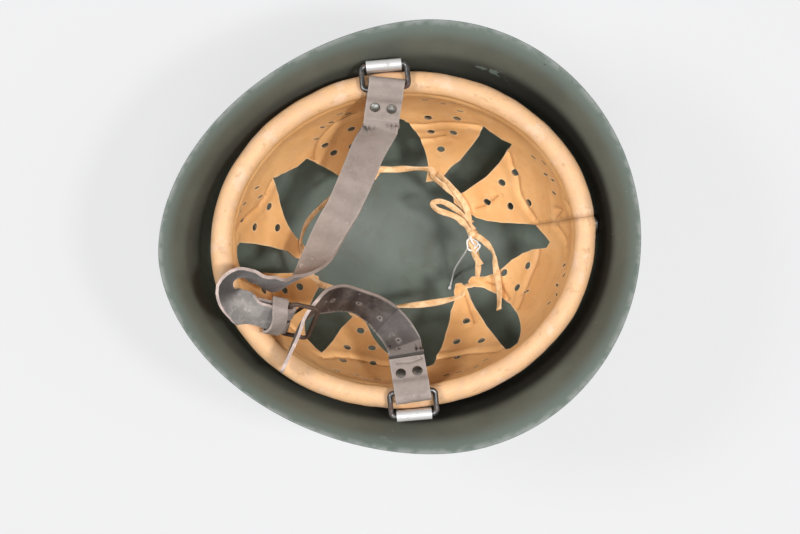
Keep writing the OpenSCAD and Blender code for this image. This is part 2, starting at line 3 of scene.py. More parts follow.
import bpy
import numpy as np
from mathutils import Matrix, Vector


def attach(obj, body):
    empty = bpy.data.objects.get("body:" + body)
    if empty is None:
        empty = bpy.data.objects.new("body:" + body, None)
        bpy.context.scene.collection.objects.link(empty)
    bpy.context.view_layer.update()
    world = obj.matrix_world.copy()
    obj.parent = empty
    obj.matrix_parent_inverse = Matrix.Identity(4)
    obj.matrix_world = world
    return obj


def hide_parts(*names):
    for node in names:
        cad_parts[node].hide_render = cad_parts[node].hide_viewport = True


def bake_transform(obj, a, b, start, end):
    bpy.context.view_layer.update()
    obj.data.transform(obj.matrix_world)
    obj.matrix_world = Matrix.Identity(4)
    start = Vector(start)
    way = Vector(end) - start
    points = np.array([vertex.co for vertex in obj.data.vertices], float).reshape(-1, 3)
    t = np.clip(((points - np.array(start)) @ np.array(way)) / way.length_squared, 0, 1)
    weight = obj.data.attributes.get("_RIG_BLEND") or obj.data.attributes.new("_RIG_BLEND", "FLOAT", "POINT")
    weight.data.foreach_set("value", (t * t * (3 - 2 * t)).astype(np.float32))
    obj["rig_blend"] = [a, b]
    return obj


bl_info = {
    "name": "Bell-rimmed Steel Helmet",
    "version": (1, 0, 0),
    "blender": (4, 5, 0),
    "location": "View3D > Sidebar > Helmet",
    "description": "Builds the shell, the laced leather liner and the buckled chin strap of a steel helmet",
    "category": "Add Mesh",
}

import math

import bmesh
import bpy
import numpy as np
from mathutils import Matrix, Vector, geometry, kdtree, noise

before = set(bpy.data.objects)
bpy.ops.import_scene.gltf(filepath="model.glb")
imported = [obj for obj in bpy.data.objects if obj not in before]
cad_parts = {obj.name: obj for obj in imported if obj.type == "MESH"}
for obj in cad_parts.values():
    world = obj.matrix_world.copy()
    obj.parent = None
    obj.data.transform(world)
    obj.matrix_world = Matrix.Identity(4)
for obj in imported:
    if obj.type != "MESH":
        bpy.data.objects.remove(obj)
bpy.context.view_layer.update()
MM = 0.001


def mix(a, b, f):
    return a + (b - a) * f


def ease(x, low, high):
    """0 before low, 1 after high, smooth between."""
    t = max(0.0, min(1.0, (x - low) / (high - low)))
    return t * t * (3 - 2 * t)


def rumple(p, size, seed=0.0):
    """Soft unevenness between -1 and 1 with features of that size, in millimetres."""
    return noise.noise(Vector(p) / size + Vector((seed, seed * 1.7, -seed)))


# Sizes and colours


def size(name, words, value_mm):
    return bpy.props.FloatProperty(
        name=name, description=words, subtype="DISTANCE", unit="LENGTH", precision=4, min=0.0, default=value_mm * MM
    )


class HelmetSizes(bpy.types.PropertyGroup):
    shell_length: size("Shell length", "Length over the rim", 286.0)
    shell_width: size("Shell width", "Width over the rim", 256.0)
    shell_height: size("Shell height", "Crown to rim", 158.0)
    steel: size("Steel", "Thickness of the shell", 1.2)
    head_length: size("Head length", "Length inside the roll", 204.0)
    head_width: size("Head width", "Width inside the roll", 175.0)
    bowl_depth: size("Bowl depth", "Depth below the roll", 95.0)
    leather: size("Liner leather", "Thickness of the liner", 1.4)
    roll_width: size("Roll width", "Width of the padded roll", 13.6)
    roll_height: size("Roll height", "Height of the padded roll", 13.0)
    strap_width: size("Strap width", "Width of the chin strap", 21.2)
    strap_leather: size("Strap leather", "Thickness of the strap", 2.0)
    hole: size("Hole", "Radius of the liner's punched holes", 2.45)
    lace_width: size("Lace width", "Width of the lace", 4.2)
    thread: size("Thread", "Diameter of the white thread", 1.2)


def colour(name, words, value):
    return bpy.props.FloatVectorProperty(
        name=name, description=words, subtype="COLOR", size=3, min=0.0, max=1.0, default=value
    )


class HelmetColours(bpy.types.PropertyGroup):
    # The dome's tone is greener than the skirt's; it is also painted lighter and the skirt's darker, a painted stand-in
    # for the light on the crown and the shade on the skirt
    paint: colour("Paint", "Field paint of the skirt", (0.112, 0.118, 0.094))
    dome: colour("Dome paint", "Field paint inside the dome", (0.150, 0.186, 0.155))
    rim: colour("Rim", "Paint on the rim's lip", (0.150, 0.190, 0.165))
    liner: colour("Liner", "Grain side of the liner", (0.93, 0.50, 0.195))
    flesh: colour("Flesh side", "Flesh side and cut edges of the liner", (0.80, 0.53, 0.32))
    strap: colour("Strap", "Worn grain side of the strap", (0.37, 0.305, 0.27))
    strap_dark: colour("Strap, dark", "Dark grain side of the strap", (0.036, 0.029, 0.028))
    zinc: colour("Zinc", "Plated clips", (0.78, 0.765, 0.755))
    wire: colour("Wire", "Rings", (0.20, 0.20, 0.20))
    rust: colour("Rust", "Buckle wire", (0.10, 0.055, 0.035))
    backdrop: colour("Backdrop", "Floor", (0.80, 0.80, 0.81))


class Millimetres:
    """The helmet's sizes, read in millimetres."""

    def __init__(self, group):
        self.group = group

    def __getattr__(self, name):
        return getattr(self.group, name) / MM


def sizes():
    return Millimetres(bpy.context.scene.helmet_sizes)


def colours():
    return bpy.context.scene.helmet_colours


# Shader maths


class Flow:
    """A shader socket on which sums are written as plain expressions."""

    def __init__(self, finish, socket):
        self.finish, self.socket = finish, socket

    def sum(self, kind, *values):
        return self.finish.node("ShaderNodeMath", {"operation": kind}, dict(enumerate((self,) + values)))

    def __add__(self, other):
        return self.sum("ADD", other)

    def __sub__(self, other):
        return self.sum("SUBTRACT", other)

    def __rsub__(self, other):
        return self.finish.node("ShaderNodeMath", {"operation": "SUBTRACT"}, {0: other, 1: self})

    def __mul__(self, other):
        return self.sum("MULTIPLY", other)

    def above(self, low, high):
        """0 below low, 1 above high."""
        smooth = {"interpolation_type": "SMOOTHSTEP"}
        return self.finish.node("ShaderNodeMapRange", smooth, {"Value": self, "From Min": low, "From Max": high})

    def part(self, name):
        return Flow(self.finish, self.socket.node.outputs[name])

    __radd__, __rmul__ = __add__, __mul__


class Finish:
    """A material and the nodes that make its colour, roughness and bump."""

    def __init__(self, name, **fixed):
        self.material = bpy.data.materials.new(name)
        self.material.use_nodes = True
        self.tree = self.material.node_tree
        self.skin = self.tree.nodes["Principled BSDF"]
        for key, value in fixed.items():
            self.skin.inputs[key.replace("_", " ")].default_value = value
        self.place = self.node("ShaderNodeTexCoord", {}, {}).part("Object")

    def node(self, kind, settings, inputs):
        """Any shader node, its settings put first, then the values or links of its sockets."""
        made = self.tree.nodes.new(kind)
        for key, value in settings.items():
            setattr(made, key, value)
        for key, value in inputs.items():
            if isinstance(value, Flow):
                self.tree.links.new(value.socket, made.inputs[key])
            else:
                made.inputs[key].default_value = value
        return Flow(self, next(o for o in made.outputs if o.enabled))

    def speckle(self, size, detail=3.0, rough=0.55, stretch=(1, 1, 1)):
        """Noise from 0 to 1 with features of that size, in millimetres."""
        at = self.node("ShaderNodeMapping", {}, {"Vector": self.place, "Scale": stretch})
        return self.node(
            "ShaderNodeTexNoise", {}, {"Vector": at, "Scale": 1 / MM / size, "Detail": detail, "Roughness": rough}
        )

    def cells(self, size):
        """How far the middle of a cell of that size is, from 0 at the middle."""
        return self.node("ShaderNodeTexVoronoi", {}, {"Vector": self.place, "Scale": 1 / MM / size})

    def mark(self, name):
        """A value painted on the piece's points."""
        return self.node("ShaderNodeAttribute", {"attribute_name": name}, {}).part("Fac")

    def blend(self, factor, a, b):
        node = self.node("ShaderNodeMix", {"data_type": "RGBA", "clamp_factor": True}, {}).socket.node
        for socket, value in zip((node.inputs[0], node.inputs[6], node.inputs[7]), (factor, a, b)):
            if isinstance(value, Flow):
                self.tree.links.new(value.socket, socket)
            else:
                socket.default_value = value if socket is node.inputs[0] else (*value[:3], 1.0)
        return Flow(self, node.outputs[2])

    def over(self, tone, *layers):
        """Tones laid one over the other, each through its own mask."""
        for mask, layer in layers:
            tone = self.blend(mask, tone, layer)
        return tone

    def put(self, **flows):
        for key, flow in flows.items():
            self.tree.links.new(flow.socket, self.skin.inputs[key.replace("_", " ")])

    def relief(self, height, strength, depth):
        """Bump from a height between 0 and 1, depth in millimetres."""
        self.put(
            Normal=self.node("ShaderNodeBump", {}, {"Height": height, "Strength": strength, "Distance": depth * MM})
        )


def shade(c, f):
    return tuple(max(0.0, min(1.0, x * f)) for x in c)


def field_paint():
    """Old semi-matt field paint, with chips, scuffs, dust and a lighter lip; painted lighter in the dome, darker on the
    skirt, and painted shade behind the roll.
    """
    c, f = colours(), Finish("field_paint")
    broad, patch, grain = f.speckle(60, 4), f.speckle(14, 5, 0.6), f.speckle(1.2, 2)
    clouds = broad.above(0.35, 0.65)
    scratch = f.speckle(26, 6, 0.7, (1, 0.25, 1.6)).above(0.665, 0.70) * f.speckle(40, 2).above(0.45, 0.7)
    chips = f.speckle(2.6, 3, 0.6).above(0.70, 0.74) * f.speckle(22, 3).above(0.52, 0.66)
    edge = f.mark("edge") * f.speckle(7, 4).above(0.36, 0.60)
    dust = (1 - f.cells(9)).above(0.955, 0.975) * f.speckle(30, 2).above(0.40, 0.6)
    tone = f.over(
        f.blend(clouds, shade(c.paint, 0.84), shade(c.paint, 1.16)),
        # Greener in the dome, and painted lighter there as painted light on the crown
        (f.mark("dome"), f.blend(clouds, shade(c.dome, 0.88), shade(c.dome, 1.14))),
        (patch.above(0.45, 0.75) * 0.45, (0.120, 0.112, 0.085)),
        # Painted shade: near-black paint in the space behind the roll, where the roll shades the shell
        (f.mark("gap") * 0.95, (0.010, 0.009, 0.007)),
        (f.mark("lip") * 0.9, c.rim),
        (scratch * 0.55, shade(c.rim, 1.35)),
        (chips * 0.85, (0.035, 0.030, 0.026)),
        (edge * 0.65, (0.30, 0.315, 0.30)),
        (dust * 0.8, (0.42, 0.40, 0.36)),
    )
    f.put(Base_Color=tone, Roughness=0.42 + patch * 0.22 + edge * 0.1)
    f.relief(broad * 0.6 + grain * 0.15 + patch * 0.25 - chips * 0.5, 0.35, 0.5)
    return f.material


def liner_grain():
    """Smooth vegetable-tanned leather, darker in its creases, with painted shade in its fold valleys, and duller on the
    roll.
    """
    c, f = colours(), Finish("liner_grain", Specular_IOR_Level=0.4)
    cloud, fine, patch = f.speckle(9, 5, 0.62), f.speckle(1.0, 3, 0.6), f.speckle(16, 5, 0.62)
    roll, seam = f.mark("roll"), f.mark("seam")
    # The creases' own darkening along their lines, and painted shade in the fold valleys, deeper where they are deeper
    crease = f.mark("crease") * 0.5 + f.mark("fold").above(0.25, 0.95) * 0.35
    specks = f.speckle(1.6, 3, 0.6).above(0.66, 0.70) * f.speckle(30, 2).above(0.50, 0.66)
    wrinkle = f.speckle(7, 7, 0.72, (1, 1, 3)).above(0.60, 0.66)
    spots = (1 - f.cells(6)).above(0.93, 0.97) * f.speckle(35, 2).above(0.46, 0.62)
    tone = f.over(
        shade(c.liner, 0.93),
        (f.speckle(38, 3).above(0.32, 0.68), (0.96, 0.56, 0.24)),
        (cloud.above(0.50, 0.80) * 0.45, shade(c.liner, 0.74)),
        (cloud.above(0.52, 0.25) * 0.30, (0.88, 0.60, 0.36)),
        (roll * (0.6 + cloud.above(0.38, 0.62) * 0.3), (0.72, 0.45, 0.265)),
        # Darkening along the creases and painted shade in the fold valleys
        (crease * 0.7, (0.42, 0.18, 0.06)),
        (roll * patch.above(0.52, 0.66) * 0.5, (0.86, 0.50, 0.27)),
        (roll * patch.above(0.46, 0.36) * 0.45, (0.84, 0.60, 0.44)),
        (roll * specks * 0.55, (0.34, 0.16, 0.07)),
        (wrinkle * 0.18, (0.42, 0.18, 0.06)),
        (spots * 0.5, (0.28, 0.12, 0.05)),
        (f.mark("cut").above(0.45, 0.95) * 0.6 * (1 - seam), (0.92, 0.68, 0.42)),
        (seam * 0.55, (0.30, 0.13, 0.05)),
    )
    f.put(Base_Color=tone, Roughness=0.40 + cloud * 0.24)
    pores = f.cells(0.9) * 0.25 + fine * 0.30
    f.relief(pores + cloud * 0.9 + patch * 0.8 - crease * 1.2 - wrinkle * 0.5, 0.6, 0.5)
    return f.material


def flesh_side(name, tone, dark, smooth=None, where="rubbed"):
    """The napped back of a leather or its cut edges, with the smooth tone where that mark is painted, and painted shade
    on the walls of the punched holes.
    """
    f = Finish(name, Roughness=0.85, Sheen_Weight=0.25)
    nap, cloud = f.speckle(0.7, 4, 0.7), f.speckle(6, 4)
    shown = f.blend(nap * 0.6 + cloud * 0.4, tone, dark)
    if smooth:
        scratch = f.speckle(3, 6, 0.7, (1, 0.4, 1)).above(0.60, 0.68)
        scuffed = f.over(shade(smooth, 0.66), (cloud.above(0.38, 0.66), smooth), (scratch * 0.6, shade(smooth, 1.5)))
        shown = f.blend(f.mark(where), shown, scuffed)
    # Painted shade: the walls of punched holes, and the hide next to them, painted near-black as the holes' shadow
    f.put(Base_Color=f.blend(f.mark("hole") * 0.85, shown, shade(dark, 0.3)))
    f.relief(nap, 0.8, 0.4)
    return f.material


def strap_grain():
    """Dry grey strap leather: dark where it still has its dressing, scuffed pale where it is worn."""
    c, f = colours(), Finish("strap_grain", Specular_IOR_Level=0.35)
    cloud, fibre, fine = f.speckle(9, 5, 0.65), f.speckle(2.4, 5, 0.7), f.speckle(0.6, 3, 0.7)
    wear, crease = f.mark("wear"), f.mark("crease")
    scuff = f.speckle(5, 6, 0.7).above(0.61, 0.68) * f.speckle(18, 2).above(0.48, 0.62)
    cracks = f.speckle(1.5, 6, 0.75, (0.5, 1.6, 1)).above(0.60, 0.66) * f.speckle(14, 3).above(0.46, 0.62)
    tone = f.over(
        c.strap_dark,
        (wear, c.strap),
        (cloud.above(0.40, 0.72) * 0.40, shade(c.strap, 0.55)),
        (fibre.above(0.48, 0.68) * 0.30 * wear, (0.40, 0.345, 0.315)),
        (scuff * 0.75, (0.58, 0.52, 0.46)),
        (cracks * 0.4, shade(c.strap_dark, 0.6)),
        (crease * 0.6, (0.12, 0.07, 0.055)),
        (f.mark("cut") * 0.55, (0.42, 0.36, 0.32)),
    )
    f.put(Base_Color=tone, Roughness=0.30 + wear * 0.36 + fine * 0.12)
    f.relief(fibre * 0.5 + fine * 0.6 + cloud * 0.3 - cracks - crease * 1.5, 0.6, 0.4)
    return f.material


def metal(name, tone, stain, roughness, size, share=(0.50, 0.66), dull=0.85, lines=(1, 1, 1), metallic=1.0):
    """Worn metal: plating or scale, stained and dull over a share of it, with fine lines."""
    f = Finish(name)
    cloud, fine = f.speckle(size, 5, 0.65), f.speckle(0.5, 3, 0.6, lines)
    spoil = cloud.above(*share)
    f.put(
        Base_Color=f.over(tone, (fine * 0.5, shade(tone, 0.72)), (spoil, stain)),
        Metallic=metallic - spoil * 0.85 * metallic,
        Roughness=spoil * (dull - roughness) + roughness + fine * 0.08,
    )
    f.relief(cloud * 0.7 + fine * 0.3, 0.5, 0.18)
    return f.material


def lace_leather():
    """Tan thong leather, mottled darker and lighter on its cut edges."""
    f = Finish("lace_leather", Roughness=0.62)
    along = f.speckle(4, 4, 0.55)
    tone = f.over(
        (0.74, 0.44, 0.20),
        (along.above(0.38, 0.62), (0.93, 0.64, 0.36)),
        (f.speckle(8, 3).above(0.52, 0.72) * 0.4, (0.56, 0.30, 0.13)),
        (f.mark("cut") * 0.6, (0.86, 0.64, 0.42)),
    )
    f.put(Base_Color=tone)
    f.relief(along + f.speckle(0.6, 2) * 0.5, 0.6, 0.3)
    return f.material


def cloth(name, tone, size):
    f = Finish(name, Roughness=0.9, Sheen_Weight=0.3)
    strands = f.speckle(size, 3, 0.6)
    f.put(Base_Color=f.blend(strands, shade(tone, 0.78), tone))
    f.relief(strands, 0.8, 0.25)
    return f.material


# Meshes


def finished(name, bm, materials, body, stands_for=()):
    """Makes the piece from its bmesh, smooth up to its open edges, with its materials, on its body."""
    mesh = bpy.data.meshes.new(name)
    bm.normal_update()
    for face in bm.faces:
        face.smooth = True
    for edge in bm.edges:
        edge.smooth = not edge.is_boundary
    bm.to_mesh(mesh)
    bm.free()
    for material in materials:
        mesh.materials.append(material)
    piece = bpy.data.objects.new(name, mesh)
    bpy.context.scene.collection.objects.link(piece)
    if body:
        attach(piece, body)
    if stands_for:
        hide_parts(*stands_for)
    return piece


def solidify(piece, thickness, offset=-1.0):
    """Gives a hide its thickness: the flesh side is its second material and the cut edge its third."""
    wall = piece.modifiers.new("leather", "SOLIDIFY")
    wall.thickness, wall.offset = thickness * MM, offset
    wall.material_offset, wall.material_offset_rim = 1, 2
    wall.use_even_offset = False


def sealed(bm, weld=1e-6):
    """Welds what meets, in metres, and turns the faces outwards."""
    bmesh.ops.remove_doubles(bm, verts=bm.verts[:], dist=weld)
    bmesh.ops.recalc_face_normals(bm, faces=bm.faces[:])
    return bm


def layers(bm, names):
    """The values painted on points, by name, made where they are missing."""
    floats = bm.verts.layers.float
    for name in names:
        if not floats.get(name):
            floats.new(name)
    return [floats[name] for name in names]


def swept(bm, around, along, place, marks=()):
    """A closed skin whose points are put by place(u, v), u once round it and v along it, each from 0 to 1.
    Marks are painted by name from their functions of u and v."""
    marks = dict(marks)
    painted = list(zip(layers(bm, marks), marks.values()))
    made = bmesh.ops.create_grid(bm, x_segments=around, y_segments=along, size=1.0)["verts"]
    for v in made:
        a, b = (v.co.x + 1) / 2, (v.co.y + 1) / 2
        for layer, mark in painted:
            v[layer] = mark(a, b)
        v.co = Vector(place(a, b)) * MM
    bmesh.ops.remove_doubles(bm, verts=made, dist=1e-7)


def turned(bm, around, profile, centre, axis, side):
    """A profile of radii and heights, spun round an axis."""
    count, other = len(profile) - 1, axis.cross(side)

    def place(u, v):
        i = min(count - 1, int(v * count))
        r, h = (mix(profile[i][k], profile[i + 1][k], v * count - i) for k in (0, 1))
        a = math.tau * u
        return centre + axis * h + side * (r * math.cos(a)) + other * (r * math.sin(a))

    swept(bm, around, count * 2, place)


def winding(bm, around, along, centre, axis, reach, section, stray):
    """One closed turn round an axis: section is half its size outwards and along the axis, and stray(a) is how
    far it leaves its circle in both."""
    axis = Vector(axis).normalized()
    side = axis.orthogonal().normalized()
    up = axis.cross(side)

    def place(u, v):
        a, b = math.tau * v, math.tau * u
        out = side * math.cos(a) + up * math.sin(a)
        sway, lift = stray(a)
        return centre + out * (reach + sway + section[0] * math.cos(b)) + axis * (lift + section[1] * math.sin(b))

    swept(bm, around, along, place)


def squared(way, to):
    """That way, made square to another."""
    return (way - way.dot(to) * to).normalized()


def ring_of(centre, radius, stretch=(1.0, 1.0), turn=0.0, count=12):
    """A closed outline, an ellipse turned by turn degrees."""
    c, s = math.cos(math.radians(turn)), math.sin(math.radians(turn))
    out = []
    for k in range(count):
        a = math.tau * k / count
        x, y = radius[0] * math.cos(a), radius[1] * math.sin(a)
        out.append((centre[0] + (c * x - s * y) * stretch[0], centre[1] + (s * x + c * y) * stretch[1]))
    return out


def denser(points, pitch, closed=False):
    out = []
    ends = points + points[:1] if closed else points
    for a, b in zip(ends, ends[1:]):
        n = max(1, int(math.hypot(b[0] - a[0], b[1] - a[1]) / pitch))
        out += [(mix(a[0], b[0], i / n), mix(a[1], b[1], i / n)) for i in range(n)]
    return out if closed else out + [points[-1]]


def cut_sheet(bm, outline, holes, lines, pitch, place, groove, marks, ends=(-math.inf, math.inf)):
    """A flat hide cut to its outline and punched, then put in shape by place(x, y, crease).
    It paints cut on its edges between the ends, hole in its holes, crease on its fold lines, and marks by name
    from their functions of x and y."""
    points, kinds, edges = [], [], []
    cut, crease, bore, *named = layers(bm, ("cut", "crease", "hole", *marks))
    painted = list(zip(named, marks.values()))
    row = pitch * 0.866

    def add(loop, kind, closed):
        first = len(points)
        points.extend(loop)
        kinds.extend([kind] * len(loop))
        n = len(loop)
        edges.extend((first + i, first + (i + 1) % n) for i in range(n if closed else n - 1))

    add(denser(outline, pitch * 0.7, True), "edge", True)
    for hole in holes:
        add(hole, "cut", True)
    for line in lines:
        line = denser(line, pitch * 0.8)
        add(line, "crease", False)
        for side in (-1, 1):
            for a, b in zip(line, line[1:]):
                d = Vector((b[0] - a[0], b[1] - a[1])).normalized()
                points.append(((a[0] + b[0]) / 2 - side * groove * d.y, (a[1] + b[1]) / 2 + side * groove * d.x))
                kinds.append("plain")
    near = kdtree.KDTree(len(points))
    for i, p in enumerate(points):
        near.insert((p[0], p[1], 0), i)
    near.balance()
    xs, ys = [p[0] for p in outline], [p[1] for p in outline]
    for j in range(1, int((max(ys) - min(ys)) / row) + 1):
        y = min(ys) + j * row
        x = min(xs) + pitch * (0.5 if j % 2 else 1.0)
        while x < max(xs):
            if near.find((x, y, 0))[2] > pitch * 0.62:
                points.append((x, y))
                kinds.append("plain")
            x += pitch
    flat, _, faces, origin, _, _ = geometry.delaunay_2d_cdt([Vector(p) for p in points], edges, [], 2, 1e-4)
    centres = [Vector((sum(p[0] for p in hole), sum(p[1] for p in hole), 0)) / len(hole) for hole in holes]
    reach = max([(Vector((*p, 0)) - c).length for c, hole in zip(centres, holes) for p in hole], default=0.0)
    punches = kdtree.KDTree(max(1, len(holes)))
    for i, c in enumerate(centres):
        punches.insert(c, i)
    punches.balance()

    def punched(x, y):
        """Whether the point lies in a hole, by the crossings of a line to its side."""
        for _, i, _ in punches.find_range((x, y, 0), reach):
            crossed = [
                (a[1] > y) != (b[1] > y) and x < a[0] + (y - a[1]) * (b[0] - a[0]) / (b[1] - a[1])
                for a, b in zip(holes[i], holes[i][1:] + holes[i][:1])
            ]
            if sum(crossed) % 2:
                return True
        return False

    made = []
    for p, source in zip(flat, origin):
        kind = {kinds[i] for i in source}
        v = bm.verts.new(Vector(place(p.x, p.y, 1.0 if "crease" in kind else 0.0)) * MM)
        v[cut] = 1.0 if kind & {"edge", "cut"} and ends[0] < p.x < ends[1] else 0.0
        v[crease] = 1.0 if "crease" in kind and not kind & {"edge", "cut"} else 0.0
        # The holes' outlines, where the leather materials paint shade
        v[bore] = 1.0 if "cut" in kind else 0.0
        for layer, mark in painted:
            v[layer] = mark(p.x, p.y)
        made.append((v, p))
    for face in faces:
        a, b, c = (made[i][1] for i in face)
        if punched((a.x + b.x + c.x) / 3, (a.y + b.y + c.y) / 3):
            continue
        if (b - a).cross(c - a) < 0:
            face = face[::-1]
        bm.faces.new([made[i][0] for i in face])
    bmesh.ops.delete(bm, geom=[v for v, _ in made if not v.link_faces], context="VERTS")


# Shell


SKIRT = 46.0
# Length, width, how far the widest part lies towards the nape, and how round the front is
DOME_PLAN = (246.0, 205.0, 8.0, 1.925)
RIM_PLAN = (20.0, 1.85)
DOME_ROUND = 2 / 2.25
CROWN_X, CROWN_FLAT = 2.0, 0.05
BROW_DROP, NAPE_DROP = 7.0, 3.0
VENT_HEIGHT, VENT_BORE = 113.0, 4.05
VENTS = [math.radians(a) for a in (105, 255, 0)]
# Radii and heights over the shell's face
VENT_PROFILE = [
    (2.8, -14), (2.8, 1.6), (3.2, 2.3), (4.2, 2.5), (5.3, 2.1), (6.1, 1.5), (6.5, 1.1), (6.4, 0.9), (4.0, 0.9),
    (4.0, -14),
]
FACE = 0.47  # share of the wall's grid for each face; the rest is the rim's edge


def power(v, p):
    return math.copysign(abs(v) ** p, v)


def shell_outline(t, length, width, shift, front):
    c = math.cos(t)
    reach = length / 2 + (shift if c < 0 else -shift)
    bend = 2 / front if c < 0 else 1.0
    return Vector((shift + reach * power(c, bend), width / 2 * power(math.sin(t), bend)))


def dome_rise(q):
    return 1 - max(0.0, math.cos(math.pi / 2 * q)) ** DOME_ROUND


def shell_point(t, s):
    """Outer surface: s is 0 at the crown, 1 where the skirt starts, 2 at the rim."""
    z = sizes()
    dome_height = z.shell_height - SKIRT
    dome = shell_outline(t, *DOME_PLAN)
    if s <= 1:
        xy = Vector((CROWN_X, 0.0)).lerp(dome, max(0.0, math.sin(math.pi / 2 * s)) ** DOME_ROUND)
        level = dome_rise(CROWN_FLAT)
        return Vector((xy.x, xy.y, dome_height * max(0.0, dome_rise(s) - level) / (1 - level)))
    q, c = s - 1, math.cos(t)
    xy = dome.lerp(shell_outline(t, z.shell_length, z.shell_width, *RIM_PLAN), 0.82 * q**1.7 + 0.18 * q**5)
    rim = z.shell_height - BROW_DROP * max(0.0, -c) ** 2 - NAPE_DROP * max(0.0, c) ** 2
    return Vector((xy.x, xy.y, mix(dome_height, rim, q)))


def shell_normal(t, s):
    if s < 0.06:
        return Vector((0, 0, -1))
    sideways = shell_point(t + 0.01, s) - shell_point(t - 0.01, s)
    upwards = shell_point(t, min(2.0, s + 0.02)) - shell_point(t, s - 0.02)
    return sideways.cross(upwards).normalized()


def vent_frame(t):
    """Place and outward normal of a vent in the shell's wall."""
    s = 1 + (VENT_HEIGHT - (sizes().shell_height - SKIRT)) / SKIRT
    return shell_point(t, s), shell_normal(t, s)


def dress(material, *nodes):
    """Gives CAD nodes their material."""
    for name in nodes:
        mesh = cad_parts[name].data
        mesh.materials.clear()
        mesh.materials.append(material)


class HELMET_OT_shell(bpy.types.Operator):
    """Pressed steel shell with its flared skirt and cut rim"""

    bl_idname = "helmet.shell"
    bl_label = "Shell"

    def execute(self, context):
        steel = sizes().steel
        paint = field_paint()

        def rise(v):
            """s on either face: the outer one is the first share of v, the inner one the last."""
            return 2 * min(v, 1 - v) / FACE

        def wall(u, v):
            s = min(2.0, rise(v))
            off = max(0.0, min(1.0, (v - FACE) / (1 - 2 * FACE)))
            p, n = shell_point(math.tau * u, s), shell_normal(math.tau * u, s)
            dent = 0.35 * rumple(p, 60, 3) + 0.12 * rumple(p, 22, 5)
            fade = ease(s, 0.0, 0.5) * min(1.0, (2 - s) * 10)
            return p - n * (steel * off + dent * fade) + Vector((0, 0, 0.35 * math.sin(math.pi * off)))

        def gap(u, v):
            """Painted shade: the mask that darkens the shell in the space behind the roll, darkest at the nape."""
            band = ease(rise(v), 0.98, 1.12) * (1 - ease(rise(v), 1.5, 1.66))
            return (v > 0.5) * band * (0.4 + 0.6 * ease(math.cos(math.tau * u + 0.4), -0.5, 0.5))

        bm = bmesh.new()
        swept(bm, 160, 116, wall, {
            "lip": lambda u, v: ease(rise(v), 1.78, 1.97),
            "edge": lambda u, v: 1.0 if 0.465 < v < 0.535 else 0.0,
            # dome: where the greener, painted-lighter tone goes
            "dome": lambda u, v: (1 - ease(rise(v), 0.8, 1.25)) * (v > 0.5),
            "gap": gap,
        })
        shell = finished("steel_shell", sealed(bm, 2e-5), [paint], "helmet", ["shell"])

        cutter = bmesh.new()
        for t in VENTS:
            p, n = vent_frame(t)
            turn = n.to_track_quat("Z", "Y").to_matrix().to_4x4()
            turn.translation = p * MM
            bore = VENT_BORE * MM
            bmesh.ops.create_cone(
                cutter, cap_ends=True, segments=32, radius1=bore, radius2=bore, depth=20 * MM, matrix=turn
            )
        mesh = bpy.data.meshes.new("vent_cutter")
        cutter.to_mesh(mesh)
        cutter.free()
        tool = bpy.data.objects.new("vent_cutter", mesh)
        context.scene.collection.objects.link(tool)
        cut = shell.modifiers.new("vents", "BOOLEAN")
        cut.object, cut.operation, cut.solver = tool, "DIFFERENCE", "EXACT"
        context.view_layer.update()
        shaped = bpy.data.meshes.new_from_object(shell.evaluated_get(context.evaluated_depsgraph_get()))
        shell.modifiers.clear()
        shell.data = shaped
        bpy.data.objects.remove(tool)

        bm = bmesh.new()
        for t in VENTS:
            p, n = vent_frame(t)
            turned(bm, 40, VENT_PROFILE, p, n, n.orthogonal().normalized())
        finished("vent_flanges", sealed(bm), [paint], "helmet", ["vent_rivets"])
        return {"FINISHED"}


# Liner: az is the angle from the nape, down is the angle below the roll (negative: along the roll's skin)


CENTRE_X, ROLL_DROP = 2.5, 20.0
AZ, DOWN = 1.3, 1.66  # millimetres of flat hide for a degree
ROLL_ARC, FLAP_ARC = 24.4, 16.0
ROLL_TURN = 210
NAPE = 2.5
SEAM_END = NAPE + 359.93
FOLD_REACH = 12.0
HIDE_PITCH, HIDE_GROOVE = 2.1, 0.9
SLIT_HALF, SLIT_SQUEEZE = 2.4, 0.36
FELT_ROOM = 0.4


def bowl(az, down, off=0.0):
    """A point of the bowl in which the hide hangs, or off millimetres outside of it."""
    z = sizes()
    a, d = math.radians(az), math.radians(down)
    return Vector((
        CENTRE_X + (z.head_length / 2 + off) * math.cos(d) * math.cos(a),
        (z.head_width / 2 + off) * math.cos(d) * math.sin(a),
        z.shell_height - ROLL_DROP - (z.bowl_depth + off) * math.sin(d),
    ))


def bowl_inward(az, down):
    z = sizes()
    p = bowl(az, down) - Vector((CENTRE_X, 0, z.shell_height - ROLL_DROP))
    return -Vector((p.x / (z.head_length / 2) ** 2, p.y / (z.head_width / 2) ** 2, p.z / z.bowl_depth**2)).normalized()


def hoop(az, off, height):
    """A point outwards of and above the middle of the roll, and the way outwards."""
    z = sizes()
    c, s = math.cos(math.radians(az)), math.sin(math.radians(az))
    roll_a, roll_b = z.head_length / 2 + z.roll_width / 2, z.head_width / 2 + z.roll_width / 2
    n = Vector((c / roll_a, s / roll_b)).normalized()
    at = (CENTRE_X + roll_a * c + off * n.x, roll_b * s + off * n.y, z.shell_height - ROLL_DROP + height)
    return Vector(at), n

